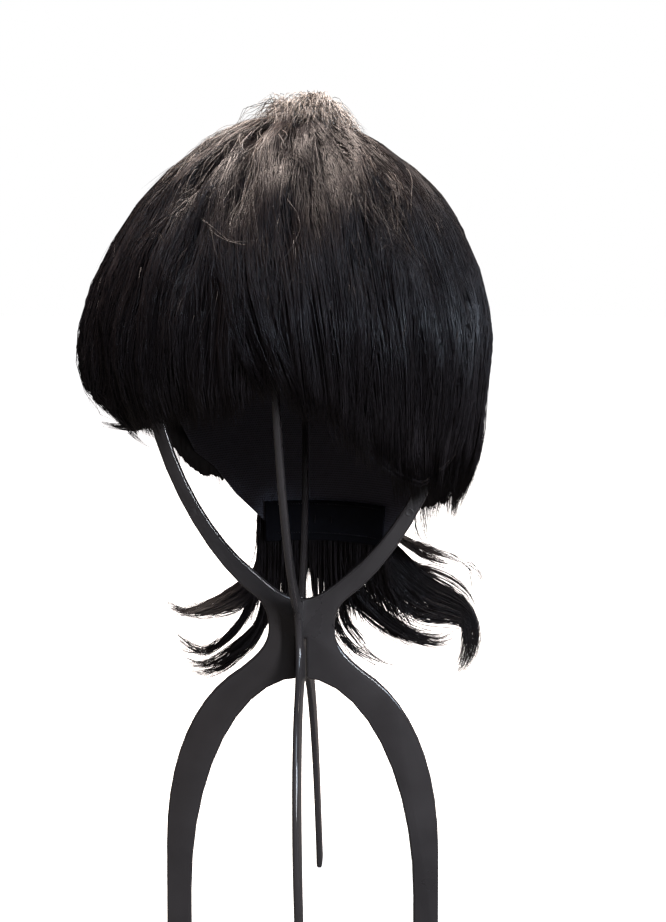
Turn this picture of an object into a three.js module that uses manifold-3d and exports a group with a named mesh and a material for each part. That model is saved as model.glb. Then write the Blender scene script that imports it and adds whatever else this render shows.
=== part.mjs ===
// A short layered wig on a folding stand made of two slotted plates.
// Millimetres, +Z up. The origin is on the floor under the stand's axis, and the wig's fringe faces -Y.
import * as THREE from "three";
import { mergeVertices } from "three/addons/utils/BufferGeometryUtils.js";
import Module from "manifold-3d";

const wasm = await Module();
wasm.setup();

// Driving dimensions
const GAP = 0.4; // clearance between neighbouring pieces

const STAND = {
  thickness: 2.8,
  height: 362, // to the top of the deep plate's loop, which passes over the wide plate's
  slotPlay: 0.8, // free room on either side of a plate in the other plate's slot
  lean: 2, // degrees that the deep plate leans to -X in its loose slot
  legSpan: 125.6,
  legWidth: 11.5,
  legStraight: 20, // height of the straight part inside each leg
  shoulderFoot: 42, // height where the leg's outer edge starts to lean in
  footRadius: 3,
  archHeight: 121,
  neckWidth: 30.4,
  neckHeight: 144,
  crotchHeight: 157.5, // lowest point inside the head loop
  loopSpan: 149,
  loopWidth: 7,
  loopCentre: 275, // height where the head loop is widest
};

const CAP = {
  wall: 1.2,
  innerX: 75.7,
  innerY: 80.2,
  innerRise: 88, // from the loop's centre to the inside of the crown
  taper: 8, // how far the wall leans in at the nape
  taperDrop: 110, // over this much height
  poleHole: 2, // small ventilation hole at the top of the crown
  backAngle: 169.4, // where the middle of the nape points
};

const WIG_TURN = 4.5; // degrees that the wig sits turned on the stand

const HAIR = {
  top: 378, // of the smooth hair, without the tuft
  roundness: 1.88, // exponent of the crown's superellipse
  seat: 0.75, // clearance off the cap
  endThickness: 5,
  poleAngle: 8, // the sections start this far from the pole, under the tuft
  lockDepth: 1.1, // how deep the grooves between locks are
  lockPitch: 16, // degrees from one groove to the next
  lockPoint: 4, // how much higher the ends are in a groove than on a lock
};

// Height of the cap's edge by angle from the wig's own front, the same on both sides.
const CAP_EDGE = [
  { angle: 0, height: 290, place: "forehead" },
  { angle: 45, height: 284, place: "temple" },
  { angle: 78, height: 252, place: "front of the ear tab" },
  { angle: 92, height: 246, place: "ear tab" },
  { angle: 108, height: 244, place: "over the ear" },
  { angle: 132, height: 207, place: "behind the ear" },
  { angle: 147, height: 186, place: "over the nape's corner" },
  { angle: 155, height: 167, place: "corner of the nape" },
  { angle: 180, height: 165, place: "nape" },
];

// Outer form of the hair by angle round the stand: 0 is the front, 90 is +X and 180 the back.
const HAIR_FORM = [
  { angle: -165, bulge: 92, bulgeHeight: 255, endRadius: 84, endHeight: 177 },
  { angle: -140, bulge: 93, bulgeHeight: 255, endRadius: 83, endHeight: 197 },
  { angle: -115, bulge: 100, bulgeHeight: 260, endRadius: 88, endHeight: 222 },
  { angle: -90, bulge: 101.5, bulgeHeight: 266, endRadius: 91, endHeight: 239 },
  { angle: -55, bulge: 100, bulgeHeight: 268, endRadius: 91, endHeight: 241 },
  { angle: -25, bulge: 95, bulgeHeight: 276, endRadius: 89, endHeight: 250 },
  { angle: -7, bulge: 94, bulgeHeight: 284, endRadius: 89, endHeight: 265 },
  { angle: 12, bulge: 93, bulgeHeight: 282, endRadius: 88, endHeight: 245 },
  { angle: 32, bulge: 92, bulgeHeight: 276, endRadius: 85, endHeight: 229 },
  { angle: 60, bulge: 88, bulgeHeight: 274, endRadius: 75, endHeight: 219 },
  { angle: 90, bulge: 86.5, bulgeHeight: 273, endRadius: 72, endHeight: 207 },
  { angle: 120, bulge: 89, bulgeHeight: 262, endRadius: 82, endHeight: 190 },
  { angle: 150, bulge: 92, bulgeHeight: 255, endRadius: 84, endHeight: 175 },
  { angle: 175, bulge: 94, bulgeHeight: 253, endRadius: 84, endHeight: 172 },
];

// Hair sections, each from the crown to its ends.
const SECTIONS = [
  { name: "fringe_left", from: -60, to: -7 },
  { name: "fringe_right", from: -7, to: 50 },
  { name: "side_right", from: 50, to: 112 },
  { name: "back_right", from: 112, to: 170 },
  { name: "back_left", from: 170, to: 236 },
  { name: "side_left", from: -124, to: -60 },
];

const TUFT = { radius: 26, rise: 9, lean: 3, rim: 1.5, fullness: 0.7, middle: 0.06 };

const NAPE_BAND = { halfAngle: 26, bottom: 168, top: 186, wall: 1 };

const NAPE_HAIR = { halfAngle: 27, drop: 14.5, thickness: 4.4 };

// How every flipped lock is shaped
const LOCK = {
  flatness: 0.4, // thickness over width
  rootShare: 0.75, // width at the root over the full width
  tipShare: 0.08, // width at the tip over the full width
  taper: 1.6, // how late it narrows
  hang: 5, // it leaves the nape straight down for this far
  turnAcross: 0.3, // where it turns outwards, as a share of the way to its lowest point
  turnDown: 0.55,
};

// Locks that flip out under the nape, at the back: where each leaves the nape, its lowest point and its tip.
const FLIPS = [
  { name: "flip_left_1", rootX: -19, sagX: -56, sagZ: 125, tipX: -76, tipY: 70, tipZ: 132, width: 9 },
  { name: "flip_left_2", rootX: -12, sagX: -50, sagZ: 106, tipX: -76, tipY: 75, tipZ: 119, width: 7 },
  { name: "flip_left_3", rootX: -5, sagX: -49, sagZ: 97, tipX: -68, tipY: 79, tipZ: 108, width: 5.5 },
  { name: "flip_left_4", rootX: 1, sagX: -44, sagZ: 92, tipX: -62, tipY: 84, tipZ: 96, width: 5 },
  { name: "flip_right_1", rootX: 42, sagX: 74, sagZ: 151, tipX: 86, tipY: 58, tipZ: 150, width: 6 },
  { name: "flip_right_2", rootX: 36, sagX: 90, sagZ: 128, tipX: 84, tipY: 66, tipZ: 89, width: 12 },
  { name: "flip_right_3", rootX: 27, sagX: 72, sagZ: 117, tipX: 103, tipY: 71, tipZ: 131, width: 9 },
  { name: "flip_right_4", rootX: 20, sagX: 64, sagZ: 106, tipX: 90, tipY: 77, tipZ: 112, width: 7 },
  { name: "flip_right_5", rootX: 13, sagX: 46, sagZ: 98, tipX: 62, tipY: 82, tipZ: 101, width: 5.5 },
  { name: "flip_right_6", rootX: 7, sagX: 36, sagZ: 106, tipX: 48, tipY: 87, tipZ: 107, width: 4.5 },
];

// Mesh resolution
const CURVE_STEPS = 10;
const CAP_COLUMNS = 40;
const CAP_ROWS = 15;
const CROWN_ROWS = 8;
const SKIRT_ROWS = 5;
const SECTION_COLUMNS = 8;
const LOCK_SIDES = 8;
const LOCK_STEPS = 11;

const HAIR_MATERIAL = new THREE.MeshStandardMaterial({ color: 0x14100e, roughness: 0.45, metalness: 0 });
const CAP_MATERIAL = new THREE.MeshStandardMaterial({ color: 0x17171b, roughness: 0.9, metalness: 0 });
const BAND_MATERIAL = new THREE.MeshStandardMaterial({ color: 0x1d1d24, roughness: 0.8, metalness: 0 });
const STAND_MATERIAL = new THREE.MeshStandardMaterial({ color: 0x2b2a2c, roughness: 0.5, metalness: 0 });

// Small helpers
const radians = THREE.MathUtils.degToRad;
const lerp = THREE.MathUtils.lerp;

/** The point at an angle round the stand's axis: 0 is the front, 90 is +X. */
function around(angle, radius, height) {
  const turn = radians(angle);
  return new THREE.Vector3(radius * Math.sin(turn), -radius * Math.cos(turn), height);
}

/** A table's row at an angle, eased between the rows on either side. */
function rowAt(table, angle, period = 0) {
  const rows = period ? [...table, { ...table[0], angle: table[0].angle + period }] : table;
  const first = rows[0].angle;
  const wanted = period ? first + THREE.MathUtils.euclideanModulo(angle - first, period) : angle;
  const next = Math.max(1, rows.findIndex((row) => row.angle >= wanted));
  const [low, high] = [rows[next - 1], rows[next]];
  const share = THREE.MathUtils.smoothstep(wanted, low.angle, high.angle);
  const made = {};
  for (const column of Object.keys(low)) {
    if (typeof low[column] === "number") made[column] = lerp(low[column], high[column], share);
  }
  return made;
}

/** A closed shell between two grids of points with the same rows and columns. Rows run down the outside. */
function shellBetween(outer, inner, { closedRound = false } = {}) {
  const rows = outer.length;
  const columns = outer[0].length;
  const points = [...outer.flat(), ...inner.flat()];
  const at = (side, row, column) => (side * rows + row) * columns + (column % columns);
  const faces = [];
  const quad = (a, b, c, d) => faces.push(a, b, c, a, c, d);
  const lastColumn = closedRound ? columns : columns - 1;
  for (let row = 0; row < rows - 1; row++) {
    for (let column = 0; column < lastColumn; column++) {
      const [down, across] = [row + 1, column + 1];
      quad(at(0, row, column), at(0, down, column), at(0, down, across), at(0, row, across));
      quad(at(1, row, column), at(1, row, across), at(1, down, across), at(1, down, column));
    }
  }
  const bottom = rows - 1;
  for (let column = 0; column < lastColumn; column++) {
    const across = column + 1;
    quad(at(0, 0, column), at(0, 0, across), at(1, 0, across), at(1, 0, column));
    quad(at(0, bottom, column), at(1, bottom, column), at(1, bottom, across), at(0, bottom, across));
  }
  if (!closedRound) {
    const side = columns - 1;
    for (let row = 0; row < bottom; row++) {
      const down = row + 1;
      quad(at(0, row, 0), at(1, row, 0), at(1, down, 0), at(0, down, 0));
      quad(at(0, row, side), at(0, down, side), at(1, down, side), at(1, row, side));
    }
  }
  return indexedGeometry(points, faces);
}

function indexedGeometry(points, faces) {
  const geometry = new THREE.BufferGeometry().setFromPoints(points);
  geometry.setIndex(faces);
  return geometry;
}

/** A closed three.js geometry as a solid that can be cut. */
function toSolid(geometry) {
  const bare = geometry.clone();
  bare.deleteAttribute("normal");
  bare.deleteAttribute("uv");
  const merged = mergeVertices(bare, 1e-4);
  const vertProperties = merged.attributes.position.array;
  const triVerts = new Uint32Array(merged.index.array);
  return new wasm.Manifold(new wasm.Mesh({ numProp: 3, vertProperties, triVerts }));
}

function toGeometry(solid) {
  const mesh = solid.getMesh();
  const geometry = new THREE.BufferGeometry();
  geometry.setAttribute("position", new THREE.BufferAttribute(mesh.vertProperties, 3));
  geometry.setIndex(new THREE.BufferAttribute(mesh.triVerts, 1));
  return geometry;
}

function named(name, geometry, material) {
  const mesh = new THREE.Mesh(geometry, material);
  mesh.name = name;
  return mesh;
}

// Stand
const halfLeg = STAND.legSpan / 2;
const halfNeck = STAND.neckWidth / 2;
const halfLoop = STAND.loopSpan / 2;
const innerLeg = halfLeg - STAND.legWidth;
const innerLoop = halfLoop - STAND.loopWidth;

// Outer edge of a plate right of its axis, as cubic curves from the leg up to the loop: [x, height].
const OUTER_EDGE = [
  { stretch: "leg", handle1: [halfLeg, 84], handle2: [49, 112], end: [28, 125] },
  { stretch: "shoulder", handle1: [20, 131.5], handle2: [halfNeck, 136], end: [halfNeck, STAND.neckHeight] },
  { stretch: "neck", handle1: [halfNeck, 150], handle2: [17, 154.8], end: [21, 158] },
  { stretch: "arm", handle1: [44, 174], handle2: [halfLoop, 225], end: [halfLoop, STAND.loopCentre] },
];
// Inner edge of the head loop right of the axis, from the crotch up.
const LOOP_EDGE = [
  { stretch: "crotch", handle1: [8, STAND.crotchHeight], handle2: [14, 163.5], end: [22, 170.3] },
  { stretch: "arm", handle1: [43, 187], handle2: [innerLoop, 228], end: [innerLoop, STAND.loopCentre] },
];

/** Draws an edge's curves upwards on the right. */
function traceUp(path, edge) {
  for (const { handle1, handle2, end } of edge) path.bezierCurveTo(...handle1, ...handle2, ...end);
}

/** Draws the mirrored edge downwards on the left, to the mirror of where the edge starts. */
function traceDown(path, edge, start) {
  const ends = [start, ...edge.map(({ end }) => end)];
  for (let i = edge.length - 1; i >= 0; i--) {
    const { handle1, handle2 } = edge[i];
    path.bezierCurveTo(-handle2[0], handle2[1], -handle1[0], handle1[1], -ends[i][0], ends[i][1]);
  }
}

/** The outline of a plate: two legs, the neck, and a head loop of a given height with its hole. */
function plateShape(height) {
  const loopRise = height - STAND.loopCentre;
  const r = STAND.footRadius;
  const shoulder = [halfLeg, STAND.shoulderFoot];
  const shape = new THREE.Shape();
  shape.moveTo(innerLeg + r, 0);
  shape.lineTo(halfLeg - r, 0);
  shape.quadraticCurveTo(halfLeg, 0, halfLeg, r);
  shape.lineTo(...shoulder);
  traceUp(shape, OUTER_EDGE);
  shape.absellipse(0, STAND.loopCentre, halfLoop, loopRise, 0, Math.PI, false);
  traceDown(shape, OUTER_EDGE, shoulder);
  shape.lineTo(-halfLeg, r);
  shape.quadraticCurveTo(-halfLeg, 0, -halfLeg + r, 0);
  shape.lineTo(-innerLeg - r, 0);
  shape.quadraticCurveTo(-innerLeg, 0, -innerLeg, r);
  shape.lineTo(-innerLeg, STAND.legStraight);
  shape.absellipse(0, STAND.legStraight, innerLeg, STAND.archHeight - STAND.legStraight, Math.PI, 0, true);
  shape.lineTo(innerLeg, r);
  shape.quadraticCurveTo(innerLeg, 0, innerLeg + r, 0);

  const crotch = [0, STAND.crotchHeight];
  const hole = new THREE.Path();
  hole.moveTo(...crotch);
  traceUp(hole, LOOP_EDGE);
  hole.absellipse(0, STAND.loopCentre, innerLoop, loopRise - STAND.loopWidth, 0, Math.PI, false);
  traceDown(hole, LOOP_EDGE, crotch);
  shape.holes.push(hole);
  return shape;
}

/** An upright slot through a plate on its axis, wide enough for the other plate. */
function slotBetween(bottom, top) {
  const width = STAND.thickness + 2 * STAND.slotPlay;
  const box = new THREE.BoxGeometry(width, 2 * STAND.thickness, top - bottom);
  return toSolid(box.translate(0, 0, (top + bottom) / 2));
}

/** One plate in the XZ plane, with the slot that lets it cross the other. */
function plate(height, slot) {
  const options = { depth: STAND.thickness, bevelEnabled: false, curveSegments: CURVE_STEPS };
  const flat = new THREE.ExtrudeGeometry(plateShape(height), options);
  flat.rotateX(Math.PI / 2).translate(0, STAND.thickness / 2, 0);
  return toGeometry(toSolid(flat).subtract(slot));
}

function buildStand() {
  const beyond = 5; // a slot runs out of the material
  const slotEnd = (STAND.archHeight + STAND.crotchHeight) / 2;
  const wideSlot = slotBetween(STAND.archHeight - beyond, slotEnd + GAP / 2);
  const deepSlot = slotBetween(slotEnd - GAP / 2, STAND.crotchHeight + beyond);
  const innerTop = STAND.height - STAND.loopWidth - GAP;
  const wide = named("plate_wide", plate(innerTop, wideSlot), STAND_MATERIAL);
  const deepPlate = plate(STAND.height, deepSlot).rotateZ(Math.PI / 2).translate(0, 0, -slotEnd);
  const deep = named("plate_deep", deepPlate, STAND_MATERIAL);
  deep.position.z = slotEnd;
  deep.rotation.y = -radians(STAND.lean);
  return [wide, deep];
}

// Cap
/** Radius of an ellipse in plan at an angle round the axis. */
function ellipseRadius(angle, halfX, halfY) {
  const turn = radians(angle);
  return 1 / Math.hypot(Math.sin(turn) / halfX, Math.cos(turn) / halfY);
}

/** How far the cap's wall leans in at a height under the loop's centre. */
function capLean(height) {
  const share = Math.max(0, STAND.loopCentre - height) / CAP.taperDrop;
  return CAP.taper * share * share;
}

/** The cap's surface, offset outwards from its inside, at polar angles on the crown and heights under it. */
function capRadius(angle, height, offset) {
  return ellipseRadius(angle, CAP.innerX, CAP.innerY) + offset - capLean(height);
}

function capCrownPoint(angle, polar, offset) {
  const radius = capRadius(angle, STAND.loopCentre, offset) * Math.sin(radians(polar));
  const rise = (CAP.innerRise + offset) * Math.cos(radians(polar));
  return around(angle, radius, STAND.loopCentre + rise);
}

function capEdgeHeight(angle) {
  const fromBack = THREE.MathUtils.euclideanModulo(angle - CAP.backAngle + 180, 360) - 180;
  return rowAt(CAP_EDGE, 180 - Math.abs(fromBack)).height;
}

/** Polar angle on the crown of the cap at a height, up to a right angle at the loop's centre. */
function capPolar(height) {
  const share = (height - STAND.loopCentre) / CAP.innerRise;
  return Math.acos(THREE.MathUtils.clamp(share, 0, 1));
}

/** One column of the cap from near the pole down to its edge, in even steps along the wall. */
function capColumn(angle, offset) {
  const edge = capEdgeHeight(angle);
  const crownLength = CAP.innerRise * capPolar(edge);
  const skirtLength = Math.max(0, STAND.loopCentre - edge);
  const points = [];
  for (let row = 0; row <= CAP_ROWS; row++) {
    const length = lerp(CAP.poleHole, crownLength + skirtLength, row / CAP_ROWS);
    if (length <= crownLength) {
      const polar = THREE.MathUtils.radToDeg(length / CAP.innerRise);
      points.push(capCrownPoint(angle, polar, offset));
    } else {
      const height = STAND.loopCentre - (length - crownLength);
      points.push(around(angle, capRadius(angle, height, offset), height));
    }
  }
  return points;
}

// Radius of the cap's wall at the nape's edge, where the hair under it hangs.
const napeRadius = CAP.innerY + CAP.wall / 2 - CAP.taper;

/** Turns a list of columns into rows of points. */
function rowsOf(columns) {
  return columns[0].map((_, row) => columns.map((column) => column[row]));
}

function buildCap() {
  const angles = Array.from({ length: CAP_COLUMNS }, (_, i) => (360 * i) / CAP_COLUMNS);
  const grid = (offset) => rowsOf(angles.map((angle) => capColumn(angle, offset)));
  return named("cap", shellBetween(grid(CAP.wall), grid(0), { closedRound: true }), CAP_MATERIAL);
}

/** The elastic band sewn inside the nape. */
function buildNapeBand() {
  const columns = 10;
  const rows = 2;
  const grid = (offset) => {
    const list = [];
    for (let column = 0; column <= columns; column++) {
      const angle = CAP.backAngle + lerp(-NAPE_BAND.halfAngle, NAPE_BAND.halfAngle, column / columns);
      const points = [];
      for (let row = 0; row <= rows; row++) {
        const height = lerp(NAPE_BAND.top, NAPE_BAND.bottom, row / rows);
        points.push(around(angle, capRadius(angle, height, offset), height));
      }
      list.push(points);
    }
    return rowsOf(list);
  };
  const outside = -2.5 * GAP; // the cap's columns cut the corner between them, so the band stays clear of it
  return named("nape_band", shellBetween(grid(outside), grid(outside - NAPE_BAND.wall)), BAND_MATERIAL);
}

// Hair
/** Grooves between locks: 0 on a lock's ridge and 1 in a groove, fading in from the crown. */
function groove(angle, share) {
  return share * (0.5 - 0.5 * Math.cos(radians((360 * angle) / HAIR.lockPitch)));
}

/** Outer surface of the hair on the crown, at a polar angle from the top. */
function hairCrownPoint(angle, polar) {
  const form = rowAt(HAIR_FORM, angle, 360);
  const power = 2 / HAIR.roundness;
  const turn = radians(polar);
  const radius = form.bulge * Math.sin(turn) ** power - HAIR.lockDepth * groove(angle, polar / 90);
  const rise = (HAIR.top - form.bulgeHeight) * Math.max(0, Math.cos(turn)) ** power;
  return { radius, height: form.bulgeHeight + rise };
}

/** Height of the hair's ends, lower on each lock than between locks. */
function hairEnd(angle) {
  return rowAt(HAIR_FORM, angle, 360).endHeight + HAIR.lockPoint * groove(angle, 1);
}

/** Outer surface of the hair under its fullest height, at a share of the way to its ends. */
function hairSkirtPoint(angle, share) {
  const form = rowAt(HAIR_FORM, angle, 360);
  const tuck = (form.bulge - form.endRadius) * (1 - Math.cos((share * Math.PI) / 2));
  const radius = form.bulge - tuck - HAIR.lockDepth * groove(angle, 1);
  return { radius, height: lerp(form.bulgeHeight, hairEnd(angle), share) };
}

/** Radius and height pairs down a section's outside and inside at one angle. */
function hairProfile(angle) {
  const inside = CAP.wall + HAIR.seat;
  const profile = [];
  for (let row = 0; row <= CROWN_ROWS; row++) {
    const polar = lerp(HAIR.poleAngle, 90, row / CROWN_ROWS);
    const onCap = capCrownPoint(angle, polar, inside);
    profile.push({
      outer: hairCrownPoint(angle, polar),
      inner: { radius: Math.hypot(onCap.x, onCap.y), height: onCap.z },
    });
  }
  const endHeight = hairEnd(angle);
  for (let row = 1; row <= SKIRT_ROWS; row++) {
    const outer = hairSkirtPoint(angle, row / SKIRT_ROWS);
    const height = lerp(STAND.loopCentre, endHeight, row / SKIRT_ROWS);
    const radius = Math.min(capRadius(angle, height, inside), outer.radius - HAIR.endThickness);
    profile.push({ outer, inner: { radius, height } });
  }
  return profile;
}

/** One hair section between two angles, with half a gap left on either side. */
function buildSection({ name, from, to }) {
  const outer = [];
  const inner = [];
  const rows = CROWN_ROWS + SKIRT_ROWS + 1;
  for (let row = 0; row < rows; row++) {
    outer.push([]);
    inner.push([]);
    for (let column = 0; column <= SECTION_COLUMNS; column++) {
      const angle = lerp(from, to, column / SECTION_COLUMNS);
      const place = hairProfile(angle)[row];
      const clear = column === 0 ? 1 : column === SECTION_COLUMNS ? -1 : 0;
      const turned = (radius) => angle + clear * THREE.MathUtils.radToDeg(GAP / 2 / radius);
      outer[row].push(around(turned(place.outer.radius), place.outer.radius, place.outer.height));
      inner[row].push(around(turned(place.inner.radius), place.inner.radius, place.inner.height));
    }
  }
  return named(name, shellBetween(outer, inner), HAIR_MATERIAL);
}

/** Height of the smooth hair over a point of the crown. */
function hairHeight(angle, radius) {
  const form = rowAt(HAIR_FORM, angle, 360);
  const share = 1 - (radius / form.bulge) ** HAIR.roundness;
  return form.bulgeHeight + (HAIR.top - form.bulgeHeight) * share ** (1 / HAIR.roundness);
}

/** The raised tuft on the crown: a low dome that leans to +X. */
function buildTuft() {
  const columns = 16;
  const rows = 4;
  const top = [];
  const under = [];
  for (let row = 0; row <= rows; row++) {
    top.push([]);
    under.push([]);
    for (let column = 0; column < columns; column++) {
      const angle = (360 * column) / columns;
      const share = lerp(TUFT.middle, 1, row / rows);
      const radius = TUFT.radius * share;
      const base = hairHeight(angle, radius) + 2 * GAP;
      const rise = TUFT.rim + TUFT.rise * (1 - share * share) ** TUFT.fullness;
      const lean = (TUFT.lean * rise) / TUFT.rise;
      top[row].push(around(angle, radius, base + rise).add(new THREE.Vector3(lean, 0, 0)));
      under[row].push(around(angle, radius, base));
    }
  }
  return named("crown_tuft", toGeometry(closedDome(top, under)), HAIR_MATERIAL);
}

/** A ring-shaped shell with its small middle hole filled. */
function closedDome(top, under) {
  const ring = toSolid(shellBetween(top, under, { closedRound: true }));
  const columns = top[0].length;
  const plugPoints = [...top[0], ...under[0]];
  const faces = [];
  for (let column = 1; column < columns - 1; column++) {
    faces.push(0, column, column + 1);
    faces.push(columns, columns + column + 1, columns + column);
  }
  for (let column = 0; column < columns; column++) {
    const next = (column + 1) % columns;
    faces.push(column, columns + column, columns + next, column, columns + next, next);
  }
  return ring.add(toSolid(indexedGeometry(plugPoints, faces)));
}

/** The short curtain of hair under the nape's edge. */
function buildNapeHair() {
  const columns = 10;
  const top = CAP_EDGE.at(-1).height - 2 * GAP;
  const grid = (side) => {
    const list = [];
    for (let column = 0; column <= columns; column++) {
      const angle = CAP.backAngle + lerp(-NAPE_HAIR.halfAngle, NAPE_HAIR.halfAngle, column / columns);
      const radius = napeRadius + (side * NAPE_HAIR.thickness) / 2;
      list.push([around(angle, radius, top), around(angle, radius, top - NAPE_HAIR.drop)]);
    }
    return rowsOf(list);
  };
  return named("nape_hair", shellBetween(grid(1), grid(-1)), HAIR_MATERIAL);
}

/** A flat, tapering lock along a curve, from a full root to a fine tip. */
function lockAlong(curve, width) {
  const points = [];
  for (let step = 0; step <= LOCK_STEPS; step++) {
    const share = step / LOCK_STEPS;
    const centre = curve.getPointAt(share);
    const along = curve.getTangentAt(share);
    const outwards = new THREE.Vector3(centre.x, centre.y, 0).normalize();
    const across = new THREE.Vector3().crossVectors(along, outwards).normalize();
    const thick = new THREE.Vector3().crossVectors(across, along).normalize();
    const swell = lerp(LOCK.rootShare, 1, Math.sin(Math.PI * Math.min(1, share * LOCK.taper)));
    const half = (width / 2) * swell * lerp(1, LOCK.tipShare, share ** LOCK.taper);
    for (let side = 0; side < LOCK_SIDES; side++) {
      const turn = (2 * Math.PI * side) / LOCK_SIDES;
      const offset = across.clone().multiplyScalar(half * Math.cos(turn));
      offset.addScaledVector(thick, half * LOCK.flatness * Math.sin(turn));
      points.push(centre.clone().add(offset));
    }
  }
  return indexedGeometry(points, tubeFaces(LOCK_STEPS, LOCK_SIDES));
}

/** Faces of a capped tube whose rings follow one another. */
function tubeFaces(steps, sides) {
  const faces = [];
  for (let step = 0; step < steps; step++) {
    for (let side = 0; side < sides; side++) {
      const next = (side + 1) % sides;
      const [a, b] = [step * sides + side, step * sides + next];
      faces.push(a, b + sides, b, a, a + sides, b + sides);
    }
  }
  const last = steps * sides;
  for (let side = 1; side < sides - 1; side++) {
    faces.push(0, side, side + 1);
    faces.push(last, last + side + 1, last + side);
  }
  return faces;
}

/** A lock's route: down from the nape, out through its lowest point, and on to its tip. */
function flipCurve({ rootX, sagX, sagZ, tipX, tipY, tipZ }) {
  const rootZ = CAP_EDGE.at(-1).height - NAPE_HAIR.drop - 4 * GAP;
  const rootY = Math.sqrt(napeRadius * napeRadius - rootX * rootX);
  const turnX = lerp(rootX, sagX, LOCK.turnAcross);
  const turnY = lerp(rootY, tipY, LOCK.turnAcross);
  const turnZ = lerp(rootZ, sagZ, LOCK.turnDown);
  const route = [
    new THREE.Vector3(rootX, rootY, rootZ),
    new THREE.Vector3(rootX, rootY, rootZ - LOCK.hang),
    new THREE.Vector3(turnX, turnY, turnZ),
    new THREE.Vector3(sagX, lerp(tipY, rootY, LOCK.turnAcross), sagZ),
    new THREE.Vector3(tipX, tipY, tipZ),
  ];
  return new THREE.CatmullRomCurve3(route, false, "centripetal");
}

function buildFlips() {
  return FLIPS.map((row) => named(row.name, lockAlong(flipCurve(row), row.width), HAIR_MATERIAL));
}

const wig = new THREE.Group();
wig.add(
  buildCap(),
  buildNapeBand(),
  ...SECTIONS.map(buildSection),
  buildTuft(),
  buildNapeHair(),
  ...buildFlips(),
);
wig.rotation.z = radians(WIG_TURN);

const wigOnStand = new THREE.Group();
wigOnStand.add(...buildStand(), wig);

export default wigOnStand;
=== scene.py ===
import math

import bpy
import numpy as np
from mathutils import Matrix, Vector
from mathutils.bvhtree import BVHTree


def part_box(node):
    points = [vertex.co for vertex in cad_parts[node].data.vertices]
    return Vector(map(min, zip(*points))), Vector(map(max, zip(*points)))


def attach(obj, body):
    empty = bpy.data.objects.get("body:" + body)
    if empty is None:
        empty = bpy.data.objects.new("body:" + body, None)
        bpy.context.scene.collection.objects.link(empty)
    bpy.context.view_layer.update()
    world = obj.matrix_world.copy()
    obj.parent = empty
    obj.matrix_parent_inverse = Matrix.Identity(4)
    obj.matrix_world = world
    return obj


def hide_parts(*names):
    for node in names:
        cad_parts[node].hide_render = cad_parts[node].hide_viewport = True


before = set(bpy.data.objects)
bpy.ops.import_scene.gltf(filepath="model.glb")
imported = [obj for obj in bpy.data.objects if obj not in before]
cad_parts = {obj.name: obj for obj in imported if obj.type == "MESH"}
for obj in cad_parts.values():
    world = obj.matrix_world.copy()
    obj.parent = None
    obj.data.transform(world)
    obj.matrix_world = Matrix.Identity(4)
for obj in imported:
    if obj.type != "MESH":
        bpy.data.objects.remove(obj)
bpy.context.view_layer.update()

MM = 0.001

# The wig: its angles are in degrees, round it from 0 at the fringe to 90 at the viewer's right,
# and down from its crown
WIG_TURN = 4.5
HEAD_CENTRE = Vector((0.0, 0.0, 0.275))
GORES = {
    "fringe_left": (-60, -7),
    "fringe_right": (-7, 50),
    "side_right": (50, 112),
    "back_right": (112, 170),
    "back_left": (170, 236),
    "side_left": (236, 300),
}
TURN_STEP = 3.0
DROP_STEP = 2.0
LOWEST_DROP = 156.0
SEAM_ASIDE = 0.7
PAST_WALL = 1e-5

# Strands
STRAND_RADIUS = 0.2 * MM
TUBE_SIDES = 3
SHORT_STEPS = 8
UV_CELL_SHAPE = 8
UV_ACROSS = (0.2, 0.3)
UV_ALONG = (0.05, 0.9)

# Camera, from the photograph's frame of 666 by 922 pixels
PHOTO_HEIGHT = 922
FOCAL_PIXELS = 1014.4
CAMERA_AZIMUTH = 4.64
CAMERA_DISTANCE = 0.4594
CAMERA_HEIGHT = 0.3081
CAMERA_PITCH = 1.987
CAMERA_YAW = 1.80
CAMERA_SHIFT = -0.17
SENSOR = 36.0

rng = np.random.default_rng(11)


# Node helpers

def node_group(name, inputs, outputs):
    """A shader node group with named sockets; returns it with its input and output nodes."""
    group = bpy.data.node_groups.new(name, "ShaderNodeTree")
    for socket, kind, value in inputs:
        made = group.interface.new_socket(socket, in_out="INPUT", socket_type="NodeSocket" + kind)
        made.default_value = value
    for socket, kind in outputs:
        group.interface.new_socket(socket, in_out="OUTPUT", socket_type="NodeSocket" + kind)
    return group, group.nodes.new("NodeGroupInput"), group.nodes.new("NodeGroupOutput")


def fill_sockets(tree, node, sockets):
    """Gives each named input of a node its value or its link."""
    for key, value in sockets.items():
        if isinstance(value, bpy.types.NodeSocket):
            tree.links.new(value, node.inputs[key])
        else:
            node.inputs[key].default_value = value
    return node


def add_node(tree, kind, sockets=None, **settings):
    """A node with its settings and its inputs."""
    node = tree.nodes.new("ShaderNode" + kind)
    for key, value in settings.items():
        setattr(node, key, value)
    return fill_sockets(tree, node, sockets or {})


def math_node(tree, operation, first, second=0.0, third=0.0):
    """One Math node's result."""
    return add_node(tree, "Math", {0: first, 1: second, 2: third}, operation=operation).outputs[0]


def blend_node(tree, share, first, second):
    """A mix of two colours by a share."""
    node = add_node(tree, "Mix", {0: share, 6: first, 7: second}, data_type="RGBA")
    return node.outputs[2]


def range_node(tree, value, low, high, to_low=0.0, to_high=1.0):
    """A value moved from one range to another, clamped."""
    sockets = {"Value": value, "From Min": low, "From Max": high, "To Min": to_low, "To Max": to_high}
    return add_node(tree, "MapRange", sockets).outputs["Result"]


def bump_node(tree, height, strength, distance):
    """A normal bent by a height."""
    return add_node(tree, "Bump", {"Height": height, "Strength": strength, "Distance": distance}).outputs[0]


def attribute_node(tree, name):
    """A value that the mesh carries."""
    return add_node(tree, "Attribute", attribute_name=name).outputs["Fac"]


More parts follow.
